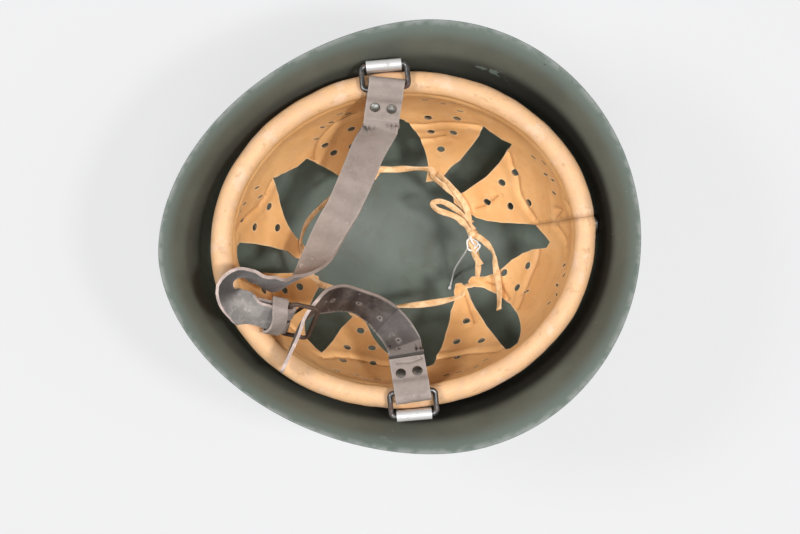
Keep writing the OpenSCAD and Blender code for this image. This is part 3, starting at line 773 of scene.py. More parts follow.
TONGUE_EDGE = [
    (2.8, 34.6), (4.5, 43), (6.9, 50.4), (10.5, 56.4), (15.2, 60.3), (23.3, 62.5), (30, 63.8), (36.4, 64.2),
    (41.5, 62.5), (38.2, 58), (37, 46.1), (38.3, 36), (39.9, 28), (40.9, 19.5), (45.1, 22.1), (51.2, 22.1),
    (54.4, 20.8), (53.4, 29.1), (53.5, 37.1), (54.2, 46.8), (56.5, 51.6), (57.4, 56.3), (62, 60), (67.5, 62),
    (69.2, 55.2), (73.5, 47.9), (77.4, 41.3), (81.5, 34.6), (85.4, 29.5), (89.5, 27), (93.5, 26.5), (95.5, 33),
    (97.5, 43), (99.5, 52), (102, 58), (106, 60), (113, 59.5), (121.8, 56.8), (125.1, 50.4), (127.7, 40.9),
    (130.1, 31.9), (135.4, 31.8), (140.7, 28.1), (145.1, 22.4), (148.4, 28.8), (151.1, 32.5), (157.8, 37.8),
    (164.5, 42.5), (170.1, 46.5), (176, 51), (181, 53.2), (185.6, 52), (184.5, 47.2), (179.5, 43.2), (176.8, 34.5),
    (175.5, 25.7), (175, 13), (176.5, 8), (181, 7), (185.6, 9.5), (187.5, 16), (189.5, 30), (192.3, 42.6),
    (195, 49.7), (200, 53.5), (206, 52.5), (212, 45), (219, 34), (223.6, 26.4), (229, 23.5), (233.4, 21),
    (234.2, 33.2), (233.8, 43.2), (235.3, 50.5), (237.2, 53.8), (239.5, 54.2), (241.8, 52.4), (247.3, 47.9),
    (254.8, 39.9), (261.8, 32.5), (264.6, 25.6), (268.5, 23.6), (273, 23.6), (277.6, 24.9), (279.9, 31.2),
    (287.2, 43.4), (295.9, 52.9), (303, 56.5), (306.5, 60), (311.3, 61.3), (315.3, 60), (314.5, 56.5), (310.3, 52.6),
    (308.1, 47.9), (305.5, 36.5), (304.3, 19.4), (304, 8.5), (305.6, 5), (308.6, 5.2), (313.4, 15.9), (318.2, 27.9),
    (320.6, 35.7), (321.2, 41.5), (321.6, 46), (321, 51), (317.5, 55.5), (319, 58.3), (324, 57.3), (327.9, 53.6),
    (335.7, 49.3), (343.2, 45.1), (347.6, 40.5), (349.9, 35.9), (351.1, 27.6), (353.7, 25.4), (359, 31.2),
    (362.4, 34.4),
]
PUNCHED = [
    (30.0, 33.2), (29.3, 42.1), (23.3, 53.1), (15.3, 44.2), (13.9, 35.0), (75.8, 26.7), (64.7, 23.4), (73.3, 35.9),
    (63.8, 33.2), (66.1, 44.6), (107.1, 28.8), (120, 30.9), (119.1, 38.6), (110, 40), (112.5, 49), (157.6, 29.8),
    (168, 23.4), (167, 37.6), (196.7, 24.4), (200.1, 36.5), (201.5, 44), (210, 29), (243.3, 45.7), (241.2, 33.4),
    (251.6, 37.8), (242.2, 23.2), (253.7, 27.6), (299.7, 44.6), (290.2, 36.7), (299.4, 30), (287.3, 26.1),
    (341.4, 36.3), (334.7, 46.8), (329.2, 37.1),
]
SLITS = [
    (31.3, 14.3, 25), (27.2, 9.4, 20), (22.9, 14.5, 65), (19.5, 11.1, 70), (14.5, 15.9, 55), (78, 10.6, 0),
    (75.8, 6.3, 10), (71.5, 12.5, 15), (68.2, 8.2, 15), (64.8, 15.6, 20), (116.7, 17.8, -55), (113, 17.8, -40),
    (121.2, 23.7, -45), (108.7, 13.5, -15), (105.9, 16.8, -10), (151.6, 15.1, -60), (154.6, 21.1, -55),
    (159.2, 9.5, -60), (162.7, 6.5, -50), (166, 13, -60), (197, 12, 30), (203, 9.5, 10), (209, 13, -20),
    (241.8, 10.5, 15), (249.3, 11.8, 0), (253.1, 9.5, -5), (256.8, 12.6, -5), (281, 11, 0), (285.6, 10.2, -5),
    (291.7, 7.5, -10), (296, 11, 0), (344.1, 10.5, -70), (340.2, 6.6, -55), (335.7, 11.1, 80), (332, 5.6, 80),
    (327.9, 9, -60), (329.2, 31.9, -60),
]
FOLDS = [
    [(39.0, 27.2), (33, 32), (28.7, 32.9), (22, 36.5), (17.9, 37.3), (11.5, 36.3), (5.5, 33.5)],
    [(87.0, 32.0), (81.9, 32.6), (76.9, 32.1), (70.2, 29.1), (62.8, 26.4), (55.8, 22.2)],
    [(79.2, 41.0), (76.6, 41.5), (71.2, 40.2), (66.6, 37.1)],
    [(128.5, 36), (121, 26), (112, 20), (104, 19)],
    [(146.8, 23.2), (153, 24.5), (158.7, 22.4), (165, 14.5), (170, 7.5)],
    [(190.3, 27), (199, 29.5), (209, 25.5), (221, 26)],
    [(235.2, 18.5), (239, 24.3), (244, 27.2), (250, 28.4), (256.5, 27.6), (262.5, 28)],
    [(279.4, 29.2), (286.8, 27.8), (292.6, 25.2), (298.4, 19.7), (302.4, 13.5)],
    [(350.2, 32), (344, 32.4), (336, 33.6), (328.6, 32.8), (320.6, 30)],
    [(325.5, 51.5), (326.8, 46), (324.6, 41.5), (322.6, 38)],
    [(4.2, 20), (7, 14), (8.6, 19)],
    [(361.5, 21), (358.2, 17), (354.6, 12.5), (352.5, 11.5)],
    [(10, 6), (5.5, 2.8), (361.8, 1.5)],
    [(23.8, 48), (21.5, 54), (22.4, 59)],
    [(310.5, 57), (305, 49), (302, 42)],
]


def flat(az, down):
    """A point of the flat hide: the skin of the roll isn't stretched."""
    return az * AZ, down * (DOWN if down > 0 else 1)


def fold_height(x, y):
    """The valley along each fold and the ridge below it, in millimetres."""
    near, side = FOLD_REACH, 1.0
    p = Vector((x, y))
    for fold in FOLDS:
        ends = [Vector(flat(*q)) for q in fold]
        for a, b in zip(ends, ends[1:]):
            d = b - a
            off = p - a - d * max(0.0, min(1.0, (p - a).dot(d) / d.length_squared))
            if off.length < near:
                near, side = off.length, math.copysign(1.0, off.y)
    if near >= FOLD_REACH:
        return 0.0
    s = near * side
    ridge = 0.6 * math.exp(-(((s - 4.2) / 3.0) ** 2))
    return ridge - 0.9 * math.exp(-((s / 1.3) ** 2)) - 0.3 * math.exp(-(((s + 4) / 3) ** 2))


def skin_point(x, y):
    """Where a point of the flat hide hangs, its normal towards the head, and its az and down."""
    z = sizes()
    az, down = x / AZ, y / DOWN
    if y >= 0:
        return bowl(az, down), bowl_inward(az, down), az, down
    if -y <= ROLL_ARC:
        a = math.radians(180 + ROLL_TURN * y / ROLL_ARC)
        p, n = hoop(az, z.roll_width / 2 * math.cos(a), z.roll_height / 2 * math.sin(a))
        return p, Vector((n.x * math.cos(a), n.y * math.cos(a), math.sin(a))), az, down
    f = (-y - ROLL_ARC) / FLAP_ARC
    off = mix(z.roll_width / 2 * math.cos(math.radians(180 - ROLL_TURN)), 2.3, ease(f, 0, 0.35))
    p, n = hoop(az, off, mix(-z.roll_height / 4, -19, f))
    return p, Vector((n.x, n.y, 0)), az, down


def hide_relief(az, down, p):
    """How far the hide stands towards the head, in millimetres."""
    if down < 0:
        return 0.5 * rumple(p, 26, 4) + 0.3 * rumple(p, 9, 6)
    out = (0.9 * rumple(p, 34, 1) + 0.35 * rumple(p, 12, 2)) * ease(down, 0, 14)
    out -= 0.8 * ease(down, 0, 3) * (1 - ease(down, 3, 8))
    out += 1.6 * math.exp(-(((down - 24) / 9) ** 2)) * rumple(p, 46, 8)
    out += ease(down, 36, 60) * (2.2 * rumple(p, 20, 9) + 0.6)
    for at, low, lift, spread in ((313, 50, 3.0, 3.2), (323, 48, 3.4, 4.0), (63, 57, 2.6, 6.0), (238, 50, 1.8, 3.0)):
        out += lift * ease(down, low, low + 9) * math.exp(-(((az - at) / spread) ** 2))
    return out


def round_in_bowl(az, down, radius, turn=0.0, squeeze=1.0, count=16):
    """An outline that is round, or squeezed and turned, once the hide hangs in the bowl."""
    e = 0.05
    wide = (bowl(az + e, down) - bowl(az - e, down)).length / (2 * e)
    deep = (bowl(az, down + e) - bowl(az, down - e)).length / (2 * e)
    return ring_of(flat(az, down), (radius, radius * squeeze), (AZ / wide, DOWN / deep), turn, count)


class HELMET_OT_liner(bpy.types.Operator):
    """Leather liner: padded roll, wall and eight punched tongues"""

    bl_idname = "helmet.liner"
    bl_label = "Liner"

    def execute(self, context):
        z, c = sizes(), colours()
        first, *lower, last = (flat(*p) for p in TONGUE_EDGE)
        start, end, top = NAPE * AZ, SEAM_END * AZ, -(ROLL_ARC + FLAP_ARC)
        outline = [(start, top), (start, first[1]), *lower, (end, last[1]), (end, top)]
        holes = [round_in_bowl(a, d, z.hole) for a, d in PUNCHED]
        holes += [round_in_bowl(a, d, SLIT_HALF, turn, SLIT_SQUEEZE, 14) for a, d, turn in SLITS]
        lines = [[flat(a, d) for a, d in fold] for fold in FOLDS]

        def seam(x, y):
            return 1 - ease(min(x - start, end - x), 0.1, 1.6)

        def place(x, y, crease):
            p, n, az, down = skin_point(x, y)
            return p + n * (hide_relief(az, down, p) + fold_height(x, y) - 0.3 * crease - 0.5 * seam(x, y))

        bm = bmesh.new()
        cut_sheet(bm, outline, holes, lines, HIDE_PITCH, place, HIDE_GROOVE, {
            "roll": lambda x, y: 1.0 - ease(y, -6, -1),
            "seam": seam,
            "fold": lambda x, y: max(0.0, -fold_height(x, y)),
        })
        back = flesh_side("liner_flesh", c.flesh, shade(c.flesh, 0.6))
        edge = flesh_side("liner_edge", (0.86, 0.64, 0.44), (0.62, 0.38, 0.20))
        names = ["liner_leather"] + [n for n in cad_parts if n.startswith("tongue_")]
        hide = finished("liner_hide", bm, [liner_grain(), back, edge], "helmet", names)
        solidify(hide, z.leather)

        w, h = (across / 2 - z.leather - FELT_ROOM for across in (z.roll_width, z.roll_height))

        def core(u, v):
            p = hoop(360 * v, w * math.cos(math.tau * u), h * math.sin(math.tau * u))[0]
            return p + Vector((0, 0, 0.2 * rumple(hoop(360 * v, 0, 0)[0], 6)))

        bm = bmesh.new()
        swept(bm, 24, 96, core)
        wool = cloth("felt", (0.35, 0.34, 0.31), 1.2)
        felt = finished("roll_felt", sealed(bm), [wool], "helmet", ["rim_padding"])
        return {"FINISHED"}


# Straps


BUCKLE = Vector((-70.5, -40.4, 152.0))
BUCKLE_Y = Vector((0.35, 0.60, 0.72)).normalized()
BUCKLE_X = squared(Vector((0.93, -0.30, -0.20)), BUCKLE_Y)
BUCKLE_Z = BUCKLE_X.cross(BUCKLE_Y)
# How far the middle of a ply lies from where two meet, and from the middle of the buckle's bar
PLY, SLEEVE = 1.05, 2.6
HINGE_Y, HINGE_Z, RING_REACH, RING_LEAN = 104.6, 146.2, 14.5, math.radians(11)
BAR_Y, BAR_Z = HINGE_Y - RING_REACH * math.cos(RING_LEAN), HINGE_Z + RING_REACH * math.sin(RING_LEAN)
LOOP_SLOPE, LOOP_ROUND, PAST_LAP = math.radians(28), 2.9, 3.2
RIVET_HEAD, RIVET_SHANK = 3.1, 1.38


def by_buckle(x, y, z):
    return BUCKLE + x * BUCKLE_X + y * BUCKLE_Y + z * BUCKLE_Z


def loop_frame(side, lean):
    """The ring's bar, and the way down the strap, the way of its width, and up, at an end loop."""
    a = math.radians(lean)
    fall = Vector((0, -side * math.cos(LOOP_SLOPE), -math.sin(LOOP_SLOPE)))
    way = math.cos(a) * fall - Vector((math.sin(a), 0, 0))
    width = side * (math.sin(a) * fall + Vector((math.cos(a), 0, 0)))
    return Vector((0, side * BAR_Y, BAR_Z)), way, width, way.cross(width)


LEFT = dict(side=1, lean=12, lap=17)
RIGHT = dict(side=-1, lean=4, lap=22)


def strap_root(side, lean, lap):
    """The first stations of a strap, straight on from its end loop."""
    bar, way, width, up = loop_frame(side, lean)
    return [(*(bar + (lap + PAST_LAP + 3 * k) * way + side * PLY * up), *(side * width)) for k in range(3)]


# Each station is a point of the strap's middle line and the way of its width
LEFT_ROUTE = strap_root(**LEFT) + [
    (-13.5, 57, 125, 0.93, -0.35, 0.05), (-22.5, 41, 111, 0.90, -0.40, 0.10), (-32, 24.5, 105, 0.85, -0.50, 0.20),
    (-42, 10, 105, 0.80, -0.50, 0.35), (-51, -5, 110.5, 0.65, -0.45, 0.60), (-60, -15.5, 120.5, 0.35, -0.10, 0.93),
    (-72, -20, 131.5, 0.05, 0.25, 0.97), (-82.5, -16.5, 143, -0.10, 0.25, 0.96), (-91.5, -12.8, 152, -0.15, 0.15, 0.97),
    (-98.7, -13.6, 158, -0.25, 0.05, 0.96), (-102.8, -18.8, 160.5, -0.40, -0.10, 0.91),
    (-101.6, -25, 161, -0.48, -0.42, 0.77), (-97.3, -30.3, 159.5, -0.45, -0.72, 0.53),
    (*by_buckle(-20, 0, PLY), *-BUCKLE_Y), (*by_buckle(-1, 0, SLEEVE), *-BUCKLE_Y),
]
RIGHT_ROUTE = strap_root(**RIGHT) + [
    (-6.2, -55, 129, 0.88, 0.44, 0.15), (-11.2, -48, 126.5, 0.80, 0.52, 0.30), (-17.5, -41.5, 125, 0.60, 0.60, 0.52),
    (-25, -36.3, 125, 0.30, 0.66, 0.69), (-31.5, -33.5, 126.5, 0.10, 0.65, 0.75), (-39, -31.8, 131, -0.05, 0.62, 0.78),
    (-47.5, -32.3, 138.5, 0, 0.50, 0.86), (-54.5, -36, 144.5, 0.15, 0.30, 0.94),
    (*by_buckle(9.8, 0, 0.6), 0.24, 0.30, 0.92), (-67, -56, 155.5, 0.20, 0.20, 0.96),
    (-72.5, -66.5, 159, 0.10, 0.10, 0.99), (-75.5, -71.5, 159.5, 0.10, 0.10, 0.99),
]
BEND_MIDDLE, BEND_END = 2, 4
PRONG_SLOT, BUCKLE_HOLE = 2.5, (0.95, 0.8)
KEEPER_WIDTH, KEEPER_LEATHER, KEEPER_ROUND = 9.0, 1.6, 1.9
# Room beside the strap, and from the middle of its outer ply
KEEPER_ROOM = (0.6, 1.3)


def curve(rows, s):
    """A smooth curve through stations of any length."""
    n = len(rows)
    i = min(n - 2, max(0, int(s)))
    f = s - i
    a, b, c, d = (np.array(rows[min(n - 1, max(0, k))], float) for k in (i - 1, i, i + 1, i + 2))
    return b + f / 2 * (c - a + f * (2 * a - 5 * b + 4 * c - d + f * (3 * b - a - 3 * c + d)))


def straight(rows, s):
    """Straight lines through stations."""
    i = min(len(rows) - 2, int(s))
    return mix(*np.array(rows[i : i + 2], float), s - i)


class Run:
    """A strap's middle line by millimetres, with the ways of its width and thickness."""

    def __init__(self, rows, start=0, end=None, through=curve):
        end = len(rows) - 1 if end is None else end
        steps = max(24, (end - start) * 24)
        found = [through(rows, mix(start, end, i / steps)) for i in range(steps + 1)]
        self.rows = [(Vector(v[:3]), Vector(v[3:])) for v in found]
        self.at = [0.0]
        for a, b in zip(self.rows, self.rows[1:]):
            self.at.append(self.at[-1] + (b[0] - a[0]).length)
        self.length = self.at[-1]

    def __call__(self, mm):
        mm = max(0.0, min(self.length, mm))
        i = max(0, min(len(self.rows) - 2, int(np.searchsorted(self.at, mm)) - 1))
        f = (mm - self.at[i]) / max(1e-9, self.at[i + 1] - self.at[i])
        p, w = (a.lerp(b, f) for a, b in zip(self.rows[i], self.rows[i + 1]))
        lo, hi = max(0, i - 1), min(len(self.rows) - 1, i + 2)
        h = (self.rows[hi][0] - self.rows[lo][0]).normalized()
        a = squared(w, h)
        return p, a, h.cross(a)


def strap_sheet(bm, run, end=None, across=None, grain=1, holes=(), lines=(), tip=0.0, ragged=0.18, pitch=1.5,
                joined=(False, False), wear=lambda x: 1.0, rubbed=lambda x: 0.0, pale=lambda x: 0.25):
    """A length of strap as a punched sheet in the middle of its thickness, its grain side outwards.
    The ends that go on in another piece are joined: no cut edge shows there."""
    end = run.length if end is None else end
    half = sizes().strap_width / 2
    low, high = across or (-half, half)
    n = max(2, int(end / 2))
    top = [(mix(0, end, i / n), high) for i in range(n + 1)]
    bottom = [(mix(end, 0, i / n), low) for i in range(n + 1)]
    if tip:
        arc = [math.radians(a) for a in (90, 70, 50, 30, 15, 0, -15, -30, -50, -70, -90)]
        point = [(end - tip + tip * math.cos(a), mix(low, high, 0.5) + (high - low) / 2 * math.sin(a)) for a in arc]
        top = [p for p in top if p[0] < end - tip - 0.5] + point
        bottom = [p for p in bottom if p[0] < end - tip - 0.5]
    outline = [(x, y + ragged * rumple((x, y * 3, 0), 5, 7)) for x, y in (top + bottom)[::-1]]

    def place(x, y, crease):
        p, a, b = run(x)
        return p + grain * y * a + grain * b * (0.22 * rumple((x, y, 3), 7) - 0.3 * crease)

    marks = {
        "wear": lambda x, y: max(0.0, min(1.0, wear(x))),
        "rubbed": lambda x, y: rubbed(x),
        "pale": lambda x, y: pale(x),
    }
    ends = (0.1 if joined[0] else -1, end - 0.1 if joined[1] else end + 1)
    cut_sheet(bm, outline, holes, lines, pitch, place, 0.5, marks, ends)


def strap_materials():
    found = bpy.data.materials.get("strap_grain")
    if found:
        return [found, bpy.data.materials["strap_flesh"], bpy.data.materials["strap_edge"]]
    return [
        strap_grain(),
        flesh_side("strap_flesh", (0.10, 0.085, 0.075), (0.030, 0.024, 0.020), (0.38, 0.345, 0.32)),
        flesh_side("strap_edge", (0.30, 0.225, 0.19), (0.17, 0.125, 0.105), (0.70, 0.55, 0.49), "pale"),
    ]


def dome_rivets(hand, facts, rise, tone):
    """Two domed heads on the end loop, each with its shank and its small head below."""
    bar, way, width, up = loop_frame(facts["side"], facts["lean"])
    r, s = RIVET_HEAD, RIVET_SHANK
    profile = [(0.02, rise), (r * 0.4, rise * 0.9), (r * 0.75, rise * 0.58), (r * 0.97, rise * 0.15), (r, -0.05),
               (s, -0.05), (s, -4.2), (r * 0.9, -4.25), (r * 0.85, -4.75), (0.02, -4.8)]
    bm = bmesh.new()
    for k in (-1, 1):
        turned(bm, 28, profile, bar + 12 * way + k * 5 * width + 2.15 * up, up, way)
    steel = metal(f"{hand}_rivet_steel", tone, (0.16, 0.13, 0.10), 0.45, 3.0)
    stands = [f"{hand}_loop_rivets"]
    finished(f"{hand}_domed_rivets", sealed(bm, 2e-5), [steel], f"{hand}_ring", stands)


def end_loop_run(side, lean, lap):
    """The folded end: from its long layer round the ring's bar to the short one."""
    bar, way, width, up = loop_frame(side, lean)
    r = LOOP_ROUND
    bend = [math.radians(a) for a in range(90, 271, 15)]
    path = [(lap + PAST_LAP, PLY), (8.4, PLY), (4.6, r)]
    path += [(r * math.cos(a) - 2.8, r * math.sin(a)) for a in bend]
    path += [(4.6, -r), (8.4, -PLY), (lap, -PLY)]
    return Run([(*(bar + x * way + side * z * up), *(width * side)) for x, z in path], through=straight)


def strap_piece(name, body, stands_for, *sheets, thick=None):
    """A piece of strap leather from its sheets, each a run and what strap_sheet has to know of it."""
    bm = bmesh.new()
    for run, facts in sheets:
        strap_sheet(bm, run, **facts)
    piece = finished(name, bm, strap_materials(), body, stands_for)
    solidify(piece, thick or sizes().strap_leather, 0.0)
    return piece


def punched_at(*places):
    return [ring_of(at, BUCKLE_HOLE) for at in places]


def keeper_run(half):
    """The keeper's band round both layers: arched and leaning where it crosses the upper one."""
    wide, high = (side + room + KEEPER_LEATHER / 2 for side, room in zip((half, SLEEVE), KEEPER_ROOM))
    r = KEEPER_ROUND
    rows = []
    for x, y, first in ((1, 1, 0), (-1, 1, 90), (-1, -1, 180), (1, -1, 270)):
        for a in (0, 22, 45, 67, 90):
            a = math.radians(first + a)
            rows.append((x * (wide - r) + r * math.cos(a), y * (high - r) + r * math.sin(a)))
    arch = [(mix(wide - r, r - wide, i / 10), high) for i in range(1, 10)]
    rows = rows[14:] + rows[:5] + arch + rows[5:15]
    found = []
    for y, h in rows:
        slack = 1 - (y / wide) ** 2 if h > 0 else 0.0
        width = BUCKLE_X - 0.42 * slack * BUCKLE_Z
        found.append((*by_buckle(-6.5 + 2.0 * slack, y, h + 2.2 * slack), *width))
    return Run(found, through=straight)


class HELMET_OT_straps(bpy.types.Operator):
    """Chin strap: folded ends, bends, both spans, sleeve round the buckle's bar and free tail"""

    bl_idname = "helmet.straps"
    bl_label = "Chin strap"

    def execute(self, context):
        half = sizes().strap_width / 2
        for hand, facts, rise, tone in (
            ("left", LEFT, 1.5, (0.33, 0.33, 0.31)),
            ("right", RIGHT, 0.7, (0.13, 0.115, 0.10)),
        ):
            run = end_loop_run(**facts)
            far = run.length
            crease = [] if hand == "left" else [[(far - 2.5, -9), (far - 4, -2), (far - 3, 6)]]
            # The grain side is outside of the fold
            sheet = dict(grain=-1, lines=crease, wear=lambda x: 0.95)
            strap_piece(f"{hand}_strap_fold", f"{hand}_ring", [f"{hand}_end_loop"], (run, sheet))
            dome_rivets(hand, facts, rise, tone)

        for hand, route, grain, upper_wear, lower_wear, punched in (
            ("left", LEFT_ROUTE, 1, 0.9, 0.9, []),
            ("right", RIGHT_ROUTE, -1, 0.45, 0.12, punched_at((4.4, 2.0))),
        ):
            for part, ends, bodies, worn, holes, stands in (
                ("upper", (0, BEND_MIDDLE), (f"{hand}_ring", "helmet"), upper_wear, [], []),
                ("lower", (BEND_MIDDLE, BEND_END), ("helmet", "strap"), lower_wear, punched, [f"{hand}_strap_bend"]),
            ):
                run = Run(route, *ends)
                sheet = dict(grain=grain, holes=holes, ragged=0.0, joined=(True, True), wear=lambda x: worn)
                piece = strap_piece(f"{hand}_strap_bend_{part}", None, stands, (run, sheet))
                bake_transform(piece, *bodies, start=run(0.0)[0] * MM, end=run(run.length)[0] * MM)

        run = Run(LEFT_ROUTE, BEND_END)
        along = range(40, int(run.length))
        turned_over = next(x for x in along if run(x)[0].x < -98 and run(x)[0].y < -21)
        curl = next(x for x in along if run(x)[0].x < -82)
        round_bar = [math.radians(a) for a in range(0, 181, 15)]
        sleeve = [(-4.4, 2.0), (-1, SLEEVE)] + [(SLEEVE * math.sin(a), SLEEVE * math.cos(a)) for a in round_bar]
        sleeve += [(-1, -SLEEVE), (-4.4, -2.0)]
        lower_ply = [(-4.4, -2.0), (-8, -1.5), (-12, -PLY), (-20, -PLY)]
        sleeve, lower_ply = (
            Run([(*by_buckle(x, 0, h), *BUCKLE_Y) for x, h in rows], through=through)
            for rows, through in ((sleeve, straight), (lower_ply, curve))
        )
        strap_piece(
            "left_strap_leather", "strap", ["left_strap"],
            (run, dict(
                end=run.length - 3.2, joined=(True, False), wear=lambda x: 0.85 + 0.25 * rumple((x, 0, 0), 9),
                rubbed=lambda x: ease(x, turned_over, turned_over + 9),
                pale=lambda x: 0.25 + 0.75 * ease(x, curl - 8, curl + 3),
            )),
            (sleeve, dict(across=(-half, -PRONG_SLOT), ragged=0.05, wear=lambda x: 0.8)),
            (sleeve, dict(across=(PRONG_SLOT, half), ragged=0.05, wear=lambda x: 0.8)),
            (lower_ply, dict(wear=lambda x: 0.6)),
        )

        strap_piece("right_strap_leather", "strap", ["right_strap"], (Run(RIGHT_ROUTE, BEND_END), dict(
            grain=-1, tip=7.0, joined=(True, False),
            holes=punched_at((4.6, 1.9), (21.2, 0.2), (40.2, 0.3), (57.5, 0.2)),
            lines=[[(13, 5), (13.6, 10)], [(30, 4), (29.6, 10)], [(47, -10), (48, -6)]],
            wear=lambda x: 0.04 + 0.14 * rumple((x, 0, 0), 9) + 0.3 * ease(x, 44, 60),
            pale=lambda x: 0.25 + 0.75 * ease(x, 46, 60),
        )))

        strap_piece("keeper_leather", "keeper", ["keeper_loop"], (keeper_run(half), dict(
            across=(-KEEPER_WIDTH / 2, KEEPER_WIDTH / 2), ragged=0.08, pitch=1.2,
            wear=lambda x: 0.95, pale=lambda x: 1.0,
        )), thick=KEEPER_LEATHER)
        return {"FINISHED"}


class HELMET_OT_metalwork(bpy.types.Operator):
    """Clips, rings, rivets, band and buckle"""

    bl_idname = "helmet.metalwork"
    bl_label = "Metalwork"

    def execute(self, context):
        c = colours()
        zinc = metal("zinc", c.zinc, (0.50, 0.49, 0.47), 0.42, 4.0, (0.52, 0.74), 0.6, (0.15, 1, 1), 0.35)
        dress(zinc, "left_clip", "right_clip", "clip_rivets", "rivet_washers")
        dress(metal("ring_wire", c.wire, (0.11, 0.065, 0.05), 0.38, 4.0, (0.48, 0.62)), "left_ring", "right_ring")
        dress(metal("band_steel", (0.24, 0.235, 0.22), (0.12, 0.10, 0.08), 0.5, 8.0), "liner_band", "band_spacers")
        dress(metal("rusty_wire", (0.16, 0.12, 0.10), c.rust, 0.5, 1.6, (0.34, 0.58)), "buckle_frame", "buckle_prong")
        return {"FINISHED"}


# Lace and thread


# Stations of the lace are az and down in the bowl, and the way inside of it
LACE = [
    (12, 62.5, 1.2), (23, 62.8, 1.6), (36, 61.5, 1.8), (50, 60.5, 2.6), (63, 58.5, 2.4), (67, 55.5, 1.6),
    (80, 56, 3.0), (92, 56.5, 2.4), (103, 55.5, 1.4), (118, 55.5, 3.2), (138, 54.4, 3.0), (158, 51, 2.4),
    (172, 49.5, 1.2), (182, 50, 1.2), (194, 51, 1.8), (203, 51.5, 1.2), (218, 56, 3.0), (236, 52, 1.2),
    (246, 57, 2.4), (258, 60, 3.0), (282, 60, 3.0), (300, 57.5, 2.0), (309, 56.5, 1.2), (315, 57.5, 2.2),
    (321, 55.5, 1.6), (334, 58, 3.0), (346, 61, 2.6), (356, 62, 3.4),
]
BOW = [(4, 63, 5.5), (12, 64, 6.2), (24, 66, 7), (42, 70, 6), (52, 69, 5), (44, 66, 4.5), (24, 64, 4), (5, 61.8, 3.6)]
SECOND = [(4.5, 62, 4.8), (14, 62.5, 4), (30, 60.5, 3.6), (52, 58, 3.2), (62, 56, 3)]
LONG_TAIL = [(0, 61, 4.4), (-6, 57, 4.5), (-14, 53, 4), (-24, 50, 3.6), (-36, 43, 3.2), (-45, 36, 3)]
SHORT_TAIL = [(-0.5, 62.6, 5), (-8, 63, 5), (-15, 62, 4), (-25, 57, 3.4)]
# Where a turn of the thread lies beside the knot, its axis and its radius
THREAD_COILS = [
    ((0.8, -0.4, 2.2), (0.95, 0.2, 0.25), 4.6), ((0.8, -1.4, 2.0), (0.85, 0.45, 0.2), 5.0),
    ((-0.2, -4.0, 4.6), (0.3, -0.2, 1.0), 3.6), ((1.6, -6.2, 3.0), (-0.25, 0.3, 1.0), 3.0),
]
THREAD = [
    (47, -1.5, 54.2), (45.6, -5, 51), (43, -10, 42), (39.5, -15, 30), (36, -20, 18), (34, -26, 9), (31.5, -33, 9.5),
]
THREAD_STEPS, THREAD_KNOT = 26, 1.25
KNOT = (2, 62, -4.5)
HEAD_MIDDLE = Vector((CENTRE_X, 0, 150))


def thong(bm, stations, width, thick, twist, seed):
    """A flat lace with rounded edges that turns a little on its way."""
    points = [tuple(bowl(a, d, -h)) for a, d, h in stations]
    steps = len(points) * 7
    path = [Vector(curve(points, i * (len(points) - 1) / steps)) for i in range(steps + 1)]

    def place(u, v):
        i = min(steps, int(round(v * steps)))
        h = (path[min(steps, i + 3)] - path[max(0, i - 3)]).normalized()
        up = squared(HEAD_MIDDLE - path[i], h)
        side = h.cross(up)
        roll = twist * rumple((i * 0.5, seed, 0), 6) * 2.2
        side, up = side * math.cos(roll) + up * math.sin(roll), up * math.cos(roll) - side * math.sin(roll)
        a = math.tau * u
        wide = width / 2 * (1 + 0.15 * rumple((i, 0, seed), 5))
        return path[i] + side * wide * power(math.cos(a), 0.7) + up * thick / 2 * power(math.sin(a), 0.7)

    part = bmesh.new()
    swept(part, 12, steps, place, {"cut": lambda u, v: 0.6 if abs(math.cos(math.tau * u)) > 0.85 else 0.0})
    bmesh.ops.holes_fill(part, edges=[e for e in part.edges if e.is_boundary], sides=0)
    bmesh.ops.recalc_face_normals(part, faces=part.faces[:])
    mesh = bpy.data.meshes.new("strand")
    part.to_mesh(mesh)
    part.free()
    bm.from_mesh(mesh)
    bpy.data.meshes.remove(mesh)


